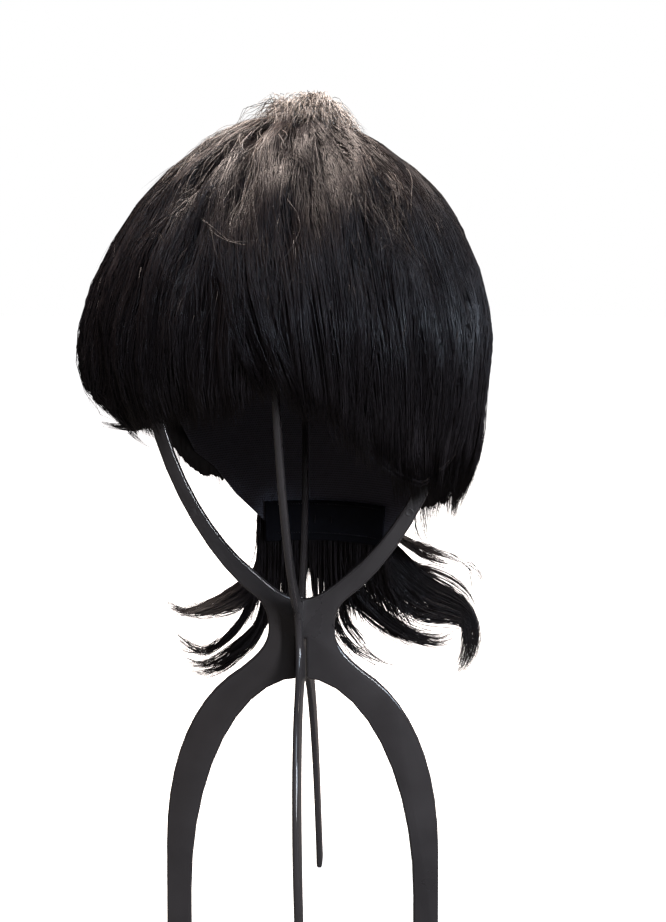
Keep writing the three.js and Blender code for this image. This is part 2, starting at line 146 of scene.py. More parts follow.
def group_node(tree, group, sockets):
    """The outputs of a placed node group with its own values."""
    return add_node(tree, "Group", sockets, node_tree=group).outputs


def new_material(name):
    """An empty node material with a Principled BSDF joined to its output."""
    material = bpy.data.materials.new(name)
    material.use_nodes = True
    tree = material.node_tree
    tree.nodes.clear()
    shader = add_node(tree, "BsdfPrincipled")
    add_node(tree, "OutputMaterial", {"Surface": shader.outputs[0]})
    return material, tree, shader


# Shared effects

def make_fibre_tone():
    """Colour and roughness along one fibre: dark at the root, a little warmer and duller at the tip. Paler
    fibres are mixed in by tint; on the hair and frizz they are painted highlight.
    """
    group, given, result = node_group(
        "fibre_tone",
        [
            ("Along", "Float", 0.0),
            ("Tint", "Float", 0.5),
            ("Root Colour", "Color", (0.006, 0.0045, 0.004, 1)),
            ("Tip Colour", "Color", (0.016, 0.011, 0.009, 1)),
            ("Pale Fibre And Highlight Colour", "Color", (0.05, 0.034, 0.025, 1)),
            ("Pale Fibres And Highlight", "Float", 0.3),
            ("Painted Highlight Tip Fade", "Float", 0.0),
            ("Roughness", "Float", 0.36),
        ],
        [("Colour", "Color"), ("Roughness", "Float")],
    )
    value = given.outputs
    place = add_node(group, "CombineXYZ", {"X": value["Tint"], "Y": value["Along"]}).outputs[0]
    speckle = add_node(group, "TexNoise", {"Vector": place, "Scale": 34.0, "Detail": 2.0}).outputs["Fac"]
    length = range_node(group, value["Along"], 0.1, 1.0)
    body = blend_node(group, length, value["Root Colour"], value["Tip Colour"])
    # Paler fibres by tint: painted highlight on the hair and frizz, random pale fibres in the sewing thread
    light = range_node(group, value["Tint"], 0.55, 1.0)
    light = math_node(group, "MULTIPLY", light, value["Pale Fibres And Highlight"])
    light = math_node(group, "MULTIPLY", light, range_node(group, speckle, 0.3, 0.7))
    # The painted highlight fades along the fibre towards its tip
    fading = range_node(group, value["Along"], 0.35, 1.0, 0.0, -1.0)
    fading = math_node(group, "MULTIPLY_ADD", fading, value["Painted Highlight Tip Fade"], 1.0)
    light = math_node(group, "MULTIPLY", light, fading)
    colour = blend_node(group, light, body, value["Pale Fibre And Highlight Colour"])
    drift = range_node(group, speckle, 0.25, 0.75, -0.06, 0.08)
    rough = math_node(group, "ADD", value["Roughness"], drift)
    fill_sockets(group, result, {"Colour": colour, "Roughness": rough})
    return group


def make_thread_mesh():
    """Height and thread mask of a knitted or woven cloth round the head: threads along height and angle."""
    group, given, result = node_group(
        "thread_mesh",
        [("Threads Around", "Float", 300.0), ("Threads Up", "Float", 700.0), ("Slant", "Float", 0.0)],
        [("Height", "Float"), ("Thread", "Float")],
    )
    value = given.outputs
    place = add_node(group, "TexCoord").outputs["Object"]
    split = add_node(group, "SeparateXYZ", {0: place}).outputs
    angle = math_node(group, "ARCTAN2", split["X"], split["Y"])
    across = math_node(group, "MULTIPLY", angle, value["Threads Around"])
    upward = math_node(group, "MULTIPLY", split["Z"], value["Threads Up"])
    upward = math_node(group, "MULTIPLY", upward, 2 * math.pi)
    slanted = math_node(group, "MULTIPLY_ADD", upward, value["Slant"], across)
    first = math_node(group, "ABSOLUTE", math_node(group, "SINE", slanted))
    second = math_node(group, "ABSOLUTE", math_node(group, "SINE", upward))
    height = math_node(group, "MAXIMUM", first, second)
    fill_sockets(group, result, {"Height": height, "Thread": range_node(group, height, 0.45, 0.9)})
    return group


def make_fine_grain():
    """Height and mottling of a lightly textured moulded or painted surface."""
    group, given, result = node_group(
        "fine_grain",
        [("Grain Scale", "Float", 1600.0), ("Mottle Scale", "Float", 60.0)],
        [("Height", "Float"), ("Mottle", "Float")],
    )
    value = given.outputs
    place = add_node(group, "TexCoord").outputs["Object"]
    grain = add_node(group, "TexNoise", {"Vector": place, "Scale": value["Grain Scale"], "Detail": 3.0})
    mottle = add_node(group, "TexNoise", {"Vector": place, "Scale": value["Mottle Scale"], "Detail": 5.0})
    mottle = range_node(group, mottle.outputs["Fac"], 0.3, 0.7)
    fill_sockets(group, result, {"Height": grain.outputs["Fac"], "Mottle": mottle})
    return group


FIBRE_TONE = make_fibre_tone()
THREAD_MESH = make_thread_mesh()
FINE_GRAIN = make_fine_grain()


# Materials

def fibre_material(name, root, tip, light, share, fade, roughness, gloss):
    """Synthetic hair fibre; reads the strand's own along and tint values. On the hair and frizz its pale
    fibre colour, share and fade are painted highlight.
    """
    material, tree, shader = new_material(name)
    tone = group_node(
        tree,
        FIBRE_TONE,
        {
            "Along": attribute_node(tree, "along"),
            "Tint": attribute_node(tree, "tint"),
            "Root Colour": (*root, 1),
            "Tip Colour": (*tip, 1),
            "Pale Fibre And Highlight Colour": (*light, 1),
            "Pale Fibres And Highlight": share,
            "Painted Highlight Tip Fade": fade,
            "Roughness": roughness,
        },
    )
    finish = {"Base Color": tone["Colour"], "Roughness": tone["Roughness"], "Specular IOR Level": gloss}
    fill_sockets(tree, shader, finish)
    return material


def cloth_material(name, colour, thread_colour, around, up, slant, bump, gloss):
    """Black stretch cloth with its threads as colour and relief."""
    material, tree, shader = new_material(name)
    mesh = group_node(tree, THREAD_MESH, {"Threads Around": around, "Threads Up": up, "Slant": slant})
    finish = {
        "Base Color": blend_node(tree, mesh["Thread"], (*colour, 1), (*thread_colour, 1)),
        "Roughness": range_node(tree, mesh["Thread"], 0.0, 1.0, 0.95, 0.7),
        "Normal": bump_node(tree, mesh["Height"], bump, 0.0004),
        "Specular IOR Level": gloss,
    }
    fill_sockets(tree, shader, finish)
    return material


def plastic_material(name, colour, worn):
    """Satin moulded plastic with a fine grain and faint mottling, and with polished edges."""
    material, tree, shader = new_material(name)
    grain = group_node(tree, FINE_GRAIN, {"Grain Scale": 1500.0, "Mottle Scale": 45.0})
    polish = attribute_node(tree, "polish")
    height = math_node(tree, "MULTIPLY", grain["Height"], math_node(tree, "SUBTRACT", 1.0, polish))
    rough = range_node(tree, grain["Mottle"], 0.0, 1.0, 0.26, 0.36)
    finish = {
        "Base Color": blend_node(tree, grain["Mottle"], (*colour, 1), (*worn, 1)),
        "Roughness": math_node(tree, "MULTIPLY_ADD", polish, -0.2, rough),
        "Normal": bump_node(tree, height, 0.12, 0.0003),
    }
    fill_sockets(tree, shader, finish)
    return material


def floor_material():
    """Pale studio paper: white to the camera with soft shadows, and dimmer in the light it throws back."""
    material, tree, shader = new_material("studio_paper")
    grain = group_node(tree, FINE_GRAIN, {"Grain Scale": 300.0, "Mottle Scale": 4.0})
    paper = blend_node(tree, grain["Mottle"], (0.86, 0.86, 0.86, 1), (0.9, 0.9, 0.9, 1))
    seen = add_node(tree, "LightPath").outputs["Is Camera Ray"]
    place = add_node(tree, "TexCoord").outputs["Object"]
    far = add_node(tree, "VectorMath", {0: place}, operation="LENGTH").outputs["Value"]
    glow = range_node(tree, far, 0.1, 0.9, 0.8, 1.0)
    finish = {
        "Base Color": blend_node(tree, seen, (0.07, 0.07, 0.07, 1), paper),
        "Roughness": 0.9,
        "Emission Color": (1, 1, 1, 1),
        "Emission Strength": math_node(tree, "MULTIPLY", seen, glow),
    }
    fill_sockets(tree, shader, finish)
    return material


# Hair: its warm pale fibres are painted highlight, high on the crown
HAIR = fibre_material(
    "hair_fibre", (0.02, 0.0155, 0.016), (0.024, 0.0185, 0.019), (0.36, 0.28, 0.225), 0.75, 0.85, 0.32, 0.3
)
# Frizz: its near-white pale fibres are painted highlight on the tuft, the shoulder frizz and the stray
# curls
FRIZZ = fibre_material(
    "hair_frizz", (0.014, 0.011, 0.009), (0.05, 0.038, 0.031), (1.0, 0.92, 0.85), 3.0, 0.0, 0.4, 0.4
)
NET = cloth_material("cap_net", (0.044, 0.042, 0.05), (0.1, 0.096, 0.115), 260.0, 420.0, 0.5, 0.6, 0.2)
ELASTIC = cloth_material(
    "band_elastic", (0.006, 0.0055, 0.0065), (0.013, 0.012, 0.015), 420.0, 900.0, 0.0, 0.8, 0.03
)
THREAD = fibre_material(
    "sewing_thread", (0.02, 0.02, 0.022), (0.03, 0.03, 0.033), (0.35, 0.35, 0.36), 0.5, 0.0, 0.6, 0.4
)
PLASTIC = plastic_material("stand_plastic", (0.024, 0.021, 0.021), (0.032, 0.028, 0.028))


# Mesh helpers

def link_piece(name, mesh, material):
    """A new object for a mesh, at the origin."""
    piece = bpy.data.objects.new(name, mesh)
    bpy.context.scene.collection.objects.link(piece)
    mesh.materials.clear()
    mesh.materials.append(material)
    return piece


def only(piece):
    """Makes one object the selected and active one."""
    bpy.ops.object.select_all(action="DESELECT")
    piece.select_set(True)
    bpy.context.view_layer.objects.active = piece


def part_of_wig(piece, slot, *nodes):
    """Says what the piece rides on and hides the CAD nodes that it stands for; the slot, its finish, is not
    used.
    """
    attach(piece, "root")
    if nodes:
        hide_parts(*nodes)
    return piece


def unit(vectors):
    """Vectors of length one."""
    return vectors / np.maximum(np.linalg.norm(vectors, axis=-1, keepdims=True), 1e-12)


def smoothstep(low, high, value):
    """An eased step from 0 to 1."""
    share = np.clip((value - low) / (high - low), 0.0, 1.0)
    return share * share * (3 - 2 * share)


def smooth_path(points, steps):
    """Points along a Catmull-Rom curve through control points, for many paths at once."""
    count = points.shape[1]
    before = 2 * points[:, :1] - points[:, 1:2]
    after = 2 * points[:, -1:] - points[:, -2:-1]
    padded = np.concatenate([before, points, after], axis=1)
    where = np.linspace(0, count - 1, steps)
    index = np.minimum(where.astype(int), count - 2)
    t = (where - index)[None, :, None]
    a, b, c, d = (padded[:, index + k] for k in range(4))
    return 0.5 * (2 * b + (c - a) * t + (2 * a - 5 * b + 4 * c - d) * t**2 + (3 * b - a - 3 * c + d) * t**3)


class Bundle:
    """Strands with equal numbers of points: paths, root radii, tints and the tip's share of the girth."""

    def __init__(self, paths, radii, tints, tip=0.28):
        self.paths = paths
        self.radii = radii
        self.tints = tints
        self.tip = tip


def tube_arrays(bundle):
    """Vertices, quads and triangles of closed tubes; along, tint, strand and side of each vertex."""
    paths = bundle.paths
    count, steps = paths.shape[:2]
    along = np.linspace(0, 1, steps)
    girth = 0.75 + 0.25 * smoothstep(0.0, 0.2, along) - (1 - bundle.tip) * smoothstep(0.45, 1.0, along)
    tangents = unit(np.gradient(paths, axis=1))
    side = np.broadcast_to(np.array([0.31, 0.87, 0.38]), tangents[:, 0].shape)
    normal = unit(np.cross(tangents[:, 0], side))
    rings = []
    for step in range(steps - 1):
        tangent = tangents[:, step]
        normal = unit(normal - np.sum(normal * tangent, axis=-1, keepdims=True) * tangent)
        across = np.cross(tangent, normal)
        for corner in range(TUBE_SIDES):
            turn = 2 * math.pi * corner / TUBE_SIDES
            reach = (bundle.radii * girth[step])[:, None]
            rings.append(paths[:, step] + reach * (math.cos(turn) * normal + math.sin(turn) * across))
    vertices = np.stack(rings + [paths[:, -1]], axis=1)
    per_strand = vertices.shape[1]
    quads, triangles = [], [[TUBE_SIDES - 1 - k for k in range(TUBE_SIDES)]]
    for step in range(steps - 2):
        for corner in range(TUBE_SIDES):
            after = (corner + 1) % TUBE_SIDES
            low, high = step * TUBE_SIDES, (step + 1) * TUBE_SIDES
            quads.append([low + corner, low + after, high + after, high + corner])
    last = (steps - 2) * TUBE_SIDES
    for corner in range(TUBE_SIDES):
        triangles.append([last + corner, last + (corner + 1) % TUBE_SIDES, per_strand - 1])
    first = (np.arange(count) * per_strand)[:, None, None]
    along_points = np.append(np.repeat(along[:-1], TUBE_SIDES), 1.0)
    sides = np.append(np.arange((steps - 1) * TUBE_SIDES) % TUBE_SIDES, 1)
    return (
        vertices.reshape(-1, 3),
        (first + np.array(quads)).reshape(-1, 4),
        (first + np.array(triangles)).reshape(-1, 3),
        np.tile(along_points, count),
        np.repeat(bundle.tints, per_strand),
        np.repeat(np.arange(count), per_strand),
        np.tile(sides, count),
    )


def strand_mesh(name, bundles):
    """One mesh of many closed strands, with a UV cell for each strand."""
    made = []
    points, strands = 0, 0
    for bundle in bundles:
        vertices, quads, triangles, along, tint, strand, side = tube_arrays(bundle)
        made.append((vertices, quads + points, triangles + points, along, tint, strand + strands, side))
        points += len(vertices)
        strands += len(bundle.paths)
    joined = (np.concatenate(arrays) for arrays in zip(*made))
    vertices, quads, triangles, along, tint, strand, side = joined
    corners = np.concatenate([quads.ravel(), triangles.ravel()]).astype(np.int32)
    starts = np.concatenate([np.arange(len(quads)) * 4, len(quads) * 4 + np.arange(len(triangles)) * 3])
    mesh = bpy.data.meshes.new(name)
    mesh.vertices.add(len(vertices))
    mesh.vertices.foreach_set("co", vertices.astype(np.float32).ravel())
    mesh.loops.add(len(corners))
    mesh.loops.foreach_set("vertex_index", corners)
    mesh.polygons.add(len(starts))
    mesh.polygons.foreach_set("loop_start", starts.astype(np.int32))
    mesh.update(calc_edges=True)
    mesh.polygons.foreach_set("use_smooth", np.ones(len(starts), bool))
    for key, numbers in (("along", along), ("tint", tint)):
        mesh.attributes.new(key, "FLOAT", "POINT").data.foreach_set("value", numbers.astype(np.float32))
    columns = int(math.ceil(math.sqrt(strands * UV_CELL_SHAPE)))
    rows = int(math.ceil(strands / columns))
    u = (strand % columns + UV_ACROSS[0] + UV_ACROSS[1] * side) / columns
    v = (strand // columns + UV_ALONG[0] + UV_ALONG[1] * along) / rows
    uv = np.stack([u, v], axis=1)[corners]
    mesh.uv_layers.new(name="OFBake").uv.foreach_set("vector", uv.astype(np.float32).ravel())
    return mesh


def strand_piece(name, bundles, material, slot, *nodes):
    """One object of strands, for the CAD nodes that it stands for."""
    return part_of_wig(link_piece(name, strand_mesh(name, bundles), material), slot, *nodes)


# Tables and draws

def read_table(table, value):
    """The value between a table's rows."""
    return np.interp(value, [row[0] for row in table], [row[1] for row in table])


def wrapped(turn):
    """Angles round the wig, from -180 to 180."""
    return np.mod(turn + 180, 360) - 180


def table_at(table, turn):
    """A table's value at angles round the wig."""
    return read_table(table, wrapped(turn))


def evenly(low, high, count):
    """One number for each strand, as a column, anywhere between two limits."""
    return rng.uniform(low, high, (count, 1))


def scatter(deviation, count):
    """One number for each strand, as a column, scattered about nought."""
    return rng.normal(0, deviation, (count, 1))


def along_strand(steps):
    """Shares of the way along a strand, as a row."""
    return np.linspace(0, 1, steps)[None]


def loose_bundle(paths, girths, tint):
    """A bundle with girths drawn between two shares of the usual radius, and tints drawn up to a limit."""
    radii = STRAND_RADIUS * rng.uniform(*girths, len(paths))
    return Bundle(paths, radii, tint * rng.random(len(paths)))


# The hair's form, measured from the frame

def cast_walls(tree, origin, direction):
    """Distances along a ray to every wall that it meets."""
    found = []
    start = origin
    while True:
        hit = tree.ray_cast(start, direction)[0]
        if hit is None:
            return found
        found.append((hit - origin).length)
        start = hit + direction * PAST_WALL


def node_tree(*names):
    """A search tree over the walls of CAD nodes."""
    points, faces = [], []
    for name in names:
        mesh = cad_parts[name].data
        first = len(points)
        points += [vertex.co.copy() for vertex in mesh.vertices]
        faces += [[first + k for k in polygon.vertices] for polygon in mesh.polygons]
    return BVHTree.FromPolygons(points, faces)


def heading(turn, drop):
    """Direction from the head's centre, by the wig's angles in degrees."""
    a, p = math.radians(turn + WIG_TURN), math.radians(drop)
    return Vector((math.sin(p) * math.sin(a), -math.sin(p) * math.cos(a), math.cos(p)))


def smoothed_round(values):
    """Values smoothed with their neighbours round the wig."""
    return (np.roll(values, 1, 0) + 2 * values + np.roll(values, -1, 0)) / 4


def measure_form():
    """Inner and outer radius of the hair on a grid of angles, and the angle where it ends all round."""
    tree = node_tree(*GORES)
    turns = np.arange(0, 360, TURN_STEP)
    drops = np.arange(0, LOWEST_DROP, DROP_STEP)
    inner = np.full((len(turns), len(drops)), np.nan)
    outer = inner.copy()
    for i, turn in enumerate(turns):
        for j, drop in enumerate(drops):
            for aside in (0.0, SEAM_ASIDE):
                walls = cast_walls(tree, HEAD_CENTRE, heading(turn + aside, drop))
                if len(walls) > 1:
                    inner[i, j], outer[i, j] = walls[0], walls[-1]
                    break
    ends = np.array([drops[np.where(~np.isnan(row))[0].max()] for row in outer])
    lean = np.sin(np.radians(np.maximum(drops, DROP_STEP)))
    for grid in (inner, outer):
        for row in grid:
            known = ~np.isnan(row)
            row[~known] = np.interp(drops[~known], drops[known], row[known])
            last = np.where(known)[0].max()
            row[last:] = row[last] * lean[last] / lean[last:]
    return inner, smoothed_round(outer), smoothed_round(ends)


# How far the strands stay inside the form at the wig's two sides: drop and millimetres
LEFT_DRAWN_IN = [(8, 0), (22, 0.5), (35, 2), (60, 2), (75, 0.5), (85, 0), (95, 1), (115, 1)]
RIGHT_DRAWN_IN = [
    (6, 0), (16, 3), (27, 3), (40, 0.5), (50, 0), (88, 0), (97, 1), (108, 0), (118, -4), (130, -8)
]
DRAWN_IN_TURNS = 42.0


def drawn_in(outer):
    """The outer form with its left and right sides drawn in, as the photograph's outline is."""
    turns = wrapped(np.arange(0, 360, TURN_STEP))
    drops = np.arange(0, LOWEST_DROP, DROP_STEP)
    for table, middle in ((LEFT_DRAWN_IN, -90), (RIGHT_DRAWN_IN, 90)):
        amount = read_table(table, drops) * MM
        share = np.exp(-(((turns - middle) / DRAWN_IN_TURNS) ** 2))
        outer = outer - share[:, None] * amount[None, :]
    return outer


INNER, OUTER, ENDS = measure_form()
OUTER = drawn_in(OUTER)
EASE = 14.0


def under_form(depth):
    """Depths eased so that they stay under 1, the hair's outer form."""
    return 1 - np.log1p(np.exp(EASE * (1 - depth))) / EASE


def columns_beside(turn):
    """The measured columns on either side of angles round the wig, and the share of the second."""
    place = np.mod(turn, 360) / TURN_STEP
    low = place.astype(int) % len(ENDS)
    return low, (low + 1) % len(ENDS), place - np.floor(place)


def end_drop(turn):
    """How far down the hair reaches at an angle round the wig."""
    low, high, share = columns_beside(turn)
    return ENDS[low] * (1 - share) + ENDS[high] * share


def hair_point(turn, drop, depth):
    """Points in the hair: depth is 0 on the cap and 1 on the hair's outer form."""
    i, k, s = columns_beside(turn)
    down = np.clip(np.abs(drop) / DROP_STEP, 0, INNER.shape[1] - 1.001)
    j = down.astype(int)
    t = down - j

    def read(grid):
        low = grid[i, j] * (1 - t) + grid[i, j + 1] * t
        high = grid[k, j] * (1 - t) + grid[k, j + 1] * t
        return low * (1 - s) + high * s

    inner, outer = read(INNER), read(OUTER)
    radius = inner + depth * (outer - inner)
    a, p = np.radians(turn + WIG_TURN), np.radians(drop)
    sideways = radius * np.sin(p)
    point = np.stack([sideways * np.sin(a), -sideways * np.cos(a), radius * np.cos(p)], axis=-1)
    return point + np.array(HEAD_CENTRE)


# Pieces from the CAD walls

MERGE = 1e-5
SHARP_EDGE = dict(limit_method="ANGLE", angle_limit=math.radians(50))


def merged_copy(node, name, material, flat=0.0):
    """A copy of a CAD node's loose triangles, merged, with flat faces joined; it is left active."""
    piece = link_piece(name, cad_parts[node].data.copy(), material)
    only(piece)
    bpy.ops.object.mode_set(mode="EDIT")
    bpy.ops.mesh.select_all(action="SELECT")
    bpy.ops.mesh.remove_doubles(threshold=MERGE)
    if flat:
        bpy.ops.mesh.dissolve_limited(angle_limit=flat)
    bpy.ops.object.mode_set(mode="OBJECT")
    return piece


def round_edges(piece, width, segments, **settings):
    """Rounds the active piece's edges."""
    edge = piece.modifiers.new("rounded_edge", "BEVEL")
    edge.width = width
    edge.segments = segments
    for key, value in settings.items():
        setattr(edge, key, value)
    bpy.ops.object.modifier_apply(modifier=edge.name)


# Stand

PLATES = ("plate_wide", "plate_deep")
PLATE_ROUNDING = 1.1 * MM
PLATE_HALF = 1.4 * MM
PLATE_SMOOTH = math.radians(40)
FLAT_ANGLE = math.radians(1.5)


def polish_edges(mesh):
    """Marks the faces of the rounded edges, which are smoother than the plates' faces."""
    rounded = np.zeros(len(mesh.polygons), np.int32)
    mesh.polygons.foreach_get("material_index", rounded)
    mesh.attributes.new("polish", "FLOAT", "FACE").data.foreach_set("value", rounded.astype(np.float32))
    mesh.polygons.foreach_set("material_index", np.zeros(len(rounded), np.int32))
    mesh.materials.pop(index=1)


def finished_plate(node):
    """A plate of the stand with its moulded edges rounded; a second material finds them for the polish."""
    piece = merged_copy(node, "stand_" + node, PLASTIC, FLAT_ANGLE)
    piece.data.materials.append(PLASTIC)
    round_edges(piece, PLATE_ROUNDING, 4, use_clamp_overlap=False, material=1, **SHARP_EDGE)
    polish_edges(piece.data)
    bpy.ops.object.shade_smooth_by_angle(angle=PLATE_SMOOTH)
    return part_of_wig(piece, "stand_plastic", node)


stand_pieces = [finished_plate(node) for node in PLATES]

# Mould marks: millimetres across and up
MARK_PLACES = {"left": (-49.6, 197.0), "right": (49.2, 198.0)}
MARK_SIDES = 40
MARK_RADIUS = 1.9 * MM
MARK_PROUD = 0.18 * MM
MARK_RIM = 0.45 * MM
MARK_RIM_EDGE = 0.06 * MM
MARK_DISH = 0.12 * MM


def mould_mark(side, across, up):
    """A small round mark that the mould leaves on the plate's arm: a rim round a shallow dish."""
    bpy.ops.object.select_all(action="DESELECT")
    bpy.ops.mesh.primitive_cylinder_add(
        vertices=MARK_SIDES,
        radius=MARK_RADIUS,
        depth=2 * (PLATE_HALF + MARK_PROUD),
        location=(across * MM, 0, up * MM),
        rotation=(math.radians(90), 0, 0),
    )
    piece = bpy.context.active_object
    piece.name = "mould_mark_" + side
    bpy.ops.object.transform_apply(location=True, rotation=True, scale=True)
    bpy.ops.object.mode_set(mode="EDIT")
    bpy.ops.mesh.select_all(action="DESELECT")
    bpy.ops.object.mode_set(mode="OBJECT")
    for face in piece.data.polygons:
        face.select = abs(face.normal.y) > 0.9
    bpy.ops.object.mode_set(mode="EDIT")
    bpy.ops.mesh.select_mode(type="FACE")
    bpy.ops.mesh.inset(thickness=MARK_RIM, depth=0)
    bpy.ops.mesh.inset(thickness=MARK_RIM, depth=-MARK_DISH)
    bpy.ops.object.mode_set(mode="OBJECT")
    round_edges(piece, MARK_RIM_EDGE, 2)
    bpy.ops.object.shade_smooth_by_angle(angle=PLATE_SMOOTH)
    piece.data.materials.append(PLASTIC)
    return part_of_wig(piece, "stand_plastic")


for side, (across, up) in MARK_PLACES.items():
    stand_pieces.append(mould_mark(side, across, up))


# Cap and nape band

CLOTH_EDGE = 0.3 * MM
CLOTH_SMOOTH = math.radians(50)
CORNER_TURN = -162.0
CORNER_HALF = 7.0
CORNER_LIFT = 4 * MM
CORNER_HEIGHTS = (0.18, 0.2)
BAND_HEM = 2.5 * MM


def finished_cloth(node, material, slot, name):
    """A sewn piece of the cap: the CAD wall merged, rounded at its edges and smoothed."""
    piece = merged_copy(node, name, material)
    round_edges(piece, CLOTH_EDGE, 2, **SHARP_EDGE)
    bpy.ops.object.shade_smooth_by_angle(angle=CLOTH_SMOOTH)
    return part_of_wig(piece, slot, node)


def lift_corner(piece):
    """Draws the cap's lower left corner up a little, where the hem is rounded."""
    for vertex in piece.data.vertices:
        turn = math.degrees(math.atan2(vertex.co.x, -vertex.co.y)) - WIG_TURN
        share = math.exp(-((wrapped(turn - CORNER_TURN) / CORNER_HALF) ** 2))
        vertex.co.z += CORNER_LIFT * share * (1 - smoothstep(*CORNER_HEIGHTS, vertex.co.z))


def lower_hem(piece):
    """Draws the band's lower edge down over the hem of the cap."""
    low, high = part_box("nape_band")
    for vertex in piece.data.vertices:
        vertex.co.z -= BAND_HEM * (1 - smoothstep(low.z, high.z, vertex.co.z))


lift_corner(finished_cloth("cap", NET, "cap_net", "cap_net"))
lower_hem(finished_cloth("nape_band", ELASTIC, "band_elastic", "nape_band_elastic"))


# Hair over the cap: tables give a value by the angle round the wig

SWEPT = [
    (-180, 0), (-95, -2), (-50, -5), (-34, -3), (-31, 19), (-16, 16), (0, 10), (20, 5), (40, 2), (64, 0),
    (180, 0),
]
HANGING = [(-180, 0), (-95, -2), (-50, -4), (-15, 0), (12, 9), (38, 6), (64, 1), (180, 0)]
PAST_EDGE = [
    (-180, 7), (-173, 6), (-166, 3), (-160, 0), (-150, 0.5), (-138, 1.5), (-125, 0.3), (-115, 0), (-95, 0),
    (-75, 2), (-62, 4), (-50, 2), (-38, 4), (-30, 5), (-20, 6.5), (-10, 6), (0, 5.5), (8, 6), (16, 7),
    (24, 7.5), (31, 7.5), (37, 6.5), (47, 4.5), (62, 4), (90, 3), (120, 4), (145, 3), (158, 4), (170, 6),
    (180, 7),
]
# Painted highlight on the crown layer: a factor on its tints by the angle round the wig, paler where
# highlights fall
CROWN_HIGHLIGHT_TINTS = [
    (-180, 0.9), (-62, 1.0), (-42, 1.2), (-12, 1.2), (0, 0.85), (14, 0.8), (24, 1.2), (46, 1.2), (62, 0.9),
    (180, 0.9),
]
RING = 92.0
SMALLEST_RING = 0.22

# Layers in the order that they are grown; what a layer doesn't give is grow_layer's own value
LAYERS = [
    dict(locks=60, strands=20, roots=(48, 80), depths=(0.12, 0.45), past=(-3, 1), width=8.0, taper=0.6,
         curl=(-0.1, 0.1), girth=1.1, tint=0.5),
    dict(locks=18, strands=34, between=(20, 62), roots=(50, 75), depths=(0.2, 0.6), past=(0, 4), width=6.0,
         taper=0.6, curl=(-0.2, 0.1), girth=1.7),
    dict(locks=12, strands=30, between=(62, 128), roots=(50, 75), depths=(0.15, 0.4), past=(-1, 4),
         width=7.0, taper=0.4, curl=(-0.2, 0.1), girth=1.1),
    dict(locks=84, strands=34, steps=9, roots=(26, 52), start=0.3, depths=(0.5, 0.8), past=(-3, 1),
         width=7.5, taper=0.5, curl=(-0.25, 0.0), wave=1.0, swell=0.06, ridge=0.08, girth=1.0, tint=0.5),
    dict(locks=110, strands=36, steps=11, roots=(1, 22), start=0.7, depths=(0.82, 0.95), past=(-4, 1),
         layered=0.15, sweep=SWEPT, width=6.5, taper=0.35, curl=(-0.3, -0.05), wave=1.3, swell=0.1,
         ridge=0.14, girth=1.0, tint=0.6),
    dict(locks=190, strands=3, steps=10, roots=(12, 45), start=0.8, depths=(0.92, 1.0), past=(-12, -2),
         layered=0.5, width=9.0, taper=0.8, curl=(-0.1, 0.0), wave=2.5, swell=0.08, ridge=0.05, girth=0.75,
         tint=0.62),
    dict(locks=16, strands=26, between=(256, 306), roots=(60, 85), depths=(0.3, 0.85), past=(-2, 0),
         width=6.5, taper=0.8, curl=(-0.3, 0.0), wave=0.6, girth=1.8),
    dict(locks=18, strands=24, between=(308, 356), roots=(55, 80), depths=(0.25, 0.7), past=(-2, 0.5),
         width=6.5, taper=0.8, curl=(-0.2, 0.0), wave=0.6, girth=1.6),
    # The choppy crown layer: its pale fibres, tints up to 1, are painted highlight
    dict(locks=112, strands=25, steps=10, roots=(2, 38), start=0.8, depths=(0.9, 1.02), past=None,
         width=7.5, taper=0.45, curl=(-0.05, 0.06), wave=1.5, swell=0.15, ridge=0.26, girth=0.85, tint=1.0),
]
LAYERED_LENGTHS = (22, 54)
LAYERED_STRAY = 5.0
FULL_STRAY = 1.5
UNEVEN_TIPS = 5.0
# Painted highlight: strands lose this share of their pale tint between these drops
HIGHLIGHT_FADE_DROPS = (40, 70)
HIGHLIGHT_FADE_SHARE = 0.6
BLUNT = 0.65
POINTED = 0.28


# Dents between the big locks of the crown: turn, half width and depth
VALLEYS = [
    (-37, 3.4, 0.42), (-21, 2.0, 0.22), (-3.5, 1.8, 0.32), (9, 1.5, 0.3), (19, 2.0, 0.42), (36, 2.5, 0.3)
]
VALLEY_DROPS = (12, 24, 52, 70)
FIELD_WAVES = 40
FIELD_TURNS = (7, 26)
FIELD_DROPS = (5, 15)
FIELD_HEIGHT = 0.21
FIELD_LOSS = 0.14
FIELD_LOSS_DROPS = (50, 85)

field_turn = rng.integers(*FIELD_TURNS, FIELD_WAVES)
field_drop = rng.uniform(*FIELD_DROPS, FIELD_WAVES) * rng.choice([-1, 1], FIELD_WAVES)
field_phase = rng.uniform(0, 2 * math.pi, FIELD_WAVES)


def relief(turn, drop):
    """Height that neighbouring strands share: soft ridges, and dents between the crown's big locks."""
    height = np.zeros(np.broadcast(turn, drop).shape)
    for across, down, phase in zip(field_turn, field_drop, field_phase):
        height += np.sin(np.radians(across * turn + down * drop) + phase)
    strength = FIELD_HEIGHT - FIELD_LOSS * smoothstep(*FIELD_LOSS_DROPS, drop)
    height = height * math.sqrt(2 / FIELD_WAVES) * strength
    first, full, fade, last = VALLEY_DROPS
    window = smoothstep(first, full, drop) * (1 - smoothstep(fade, last, drop))
    for place, half, dent in VALLEYS:
        height = height - dent * window * np.exp(-(((wrapped(turn) - place) / half) ** 2))
    return height


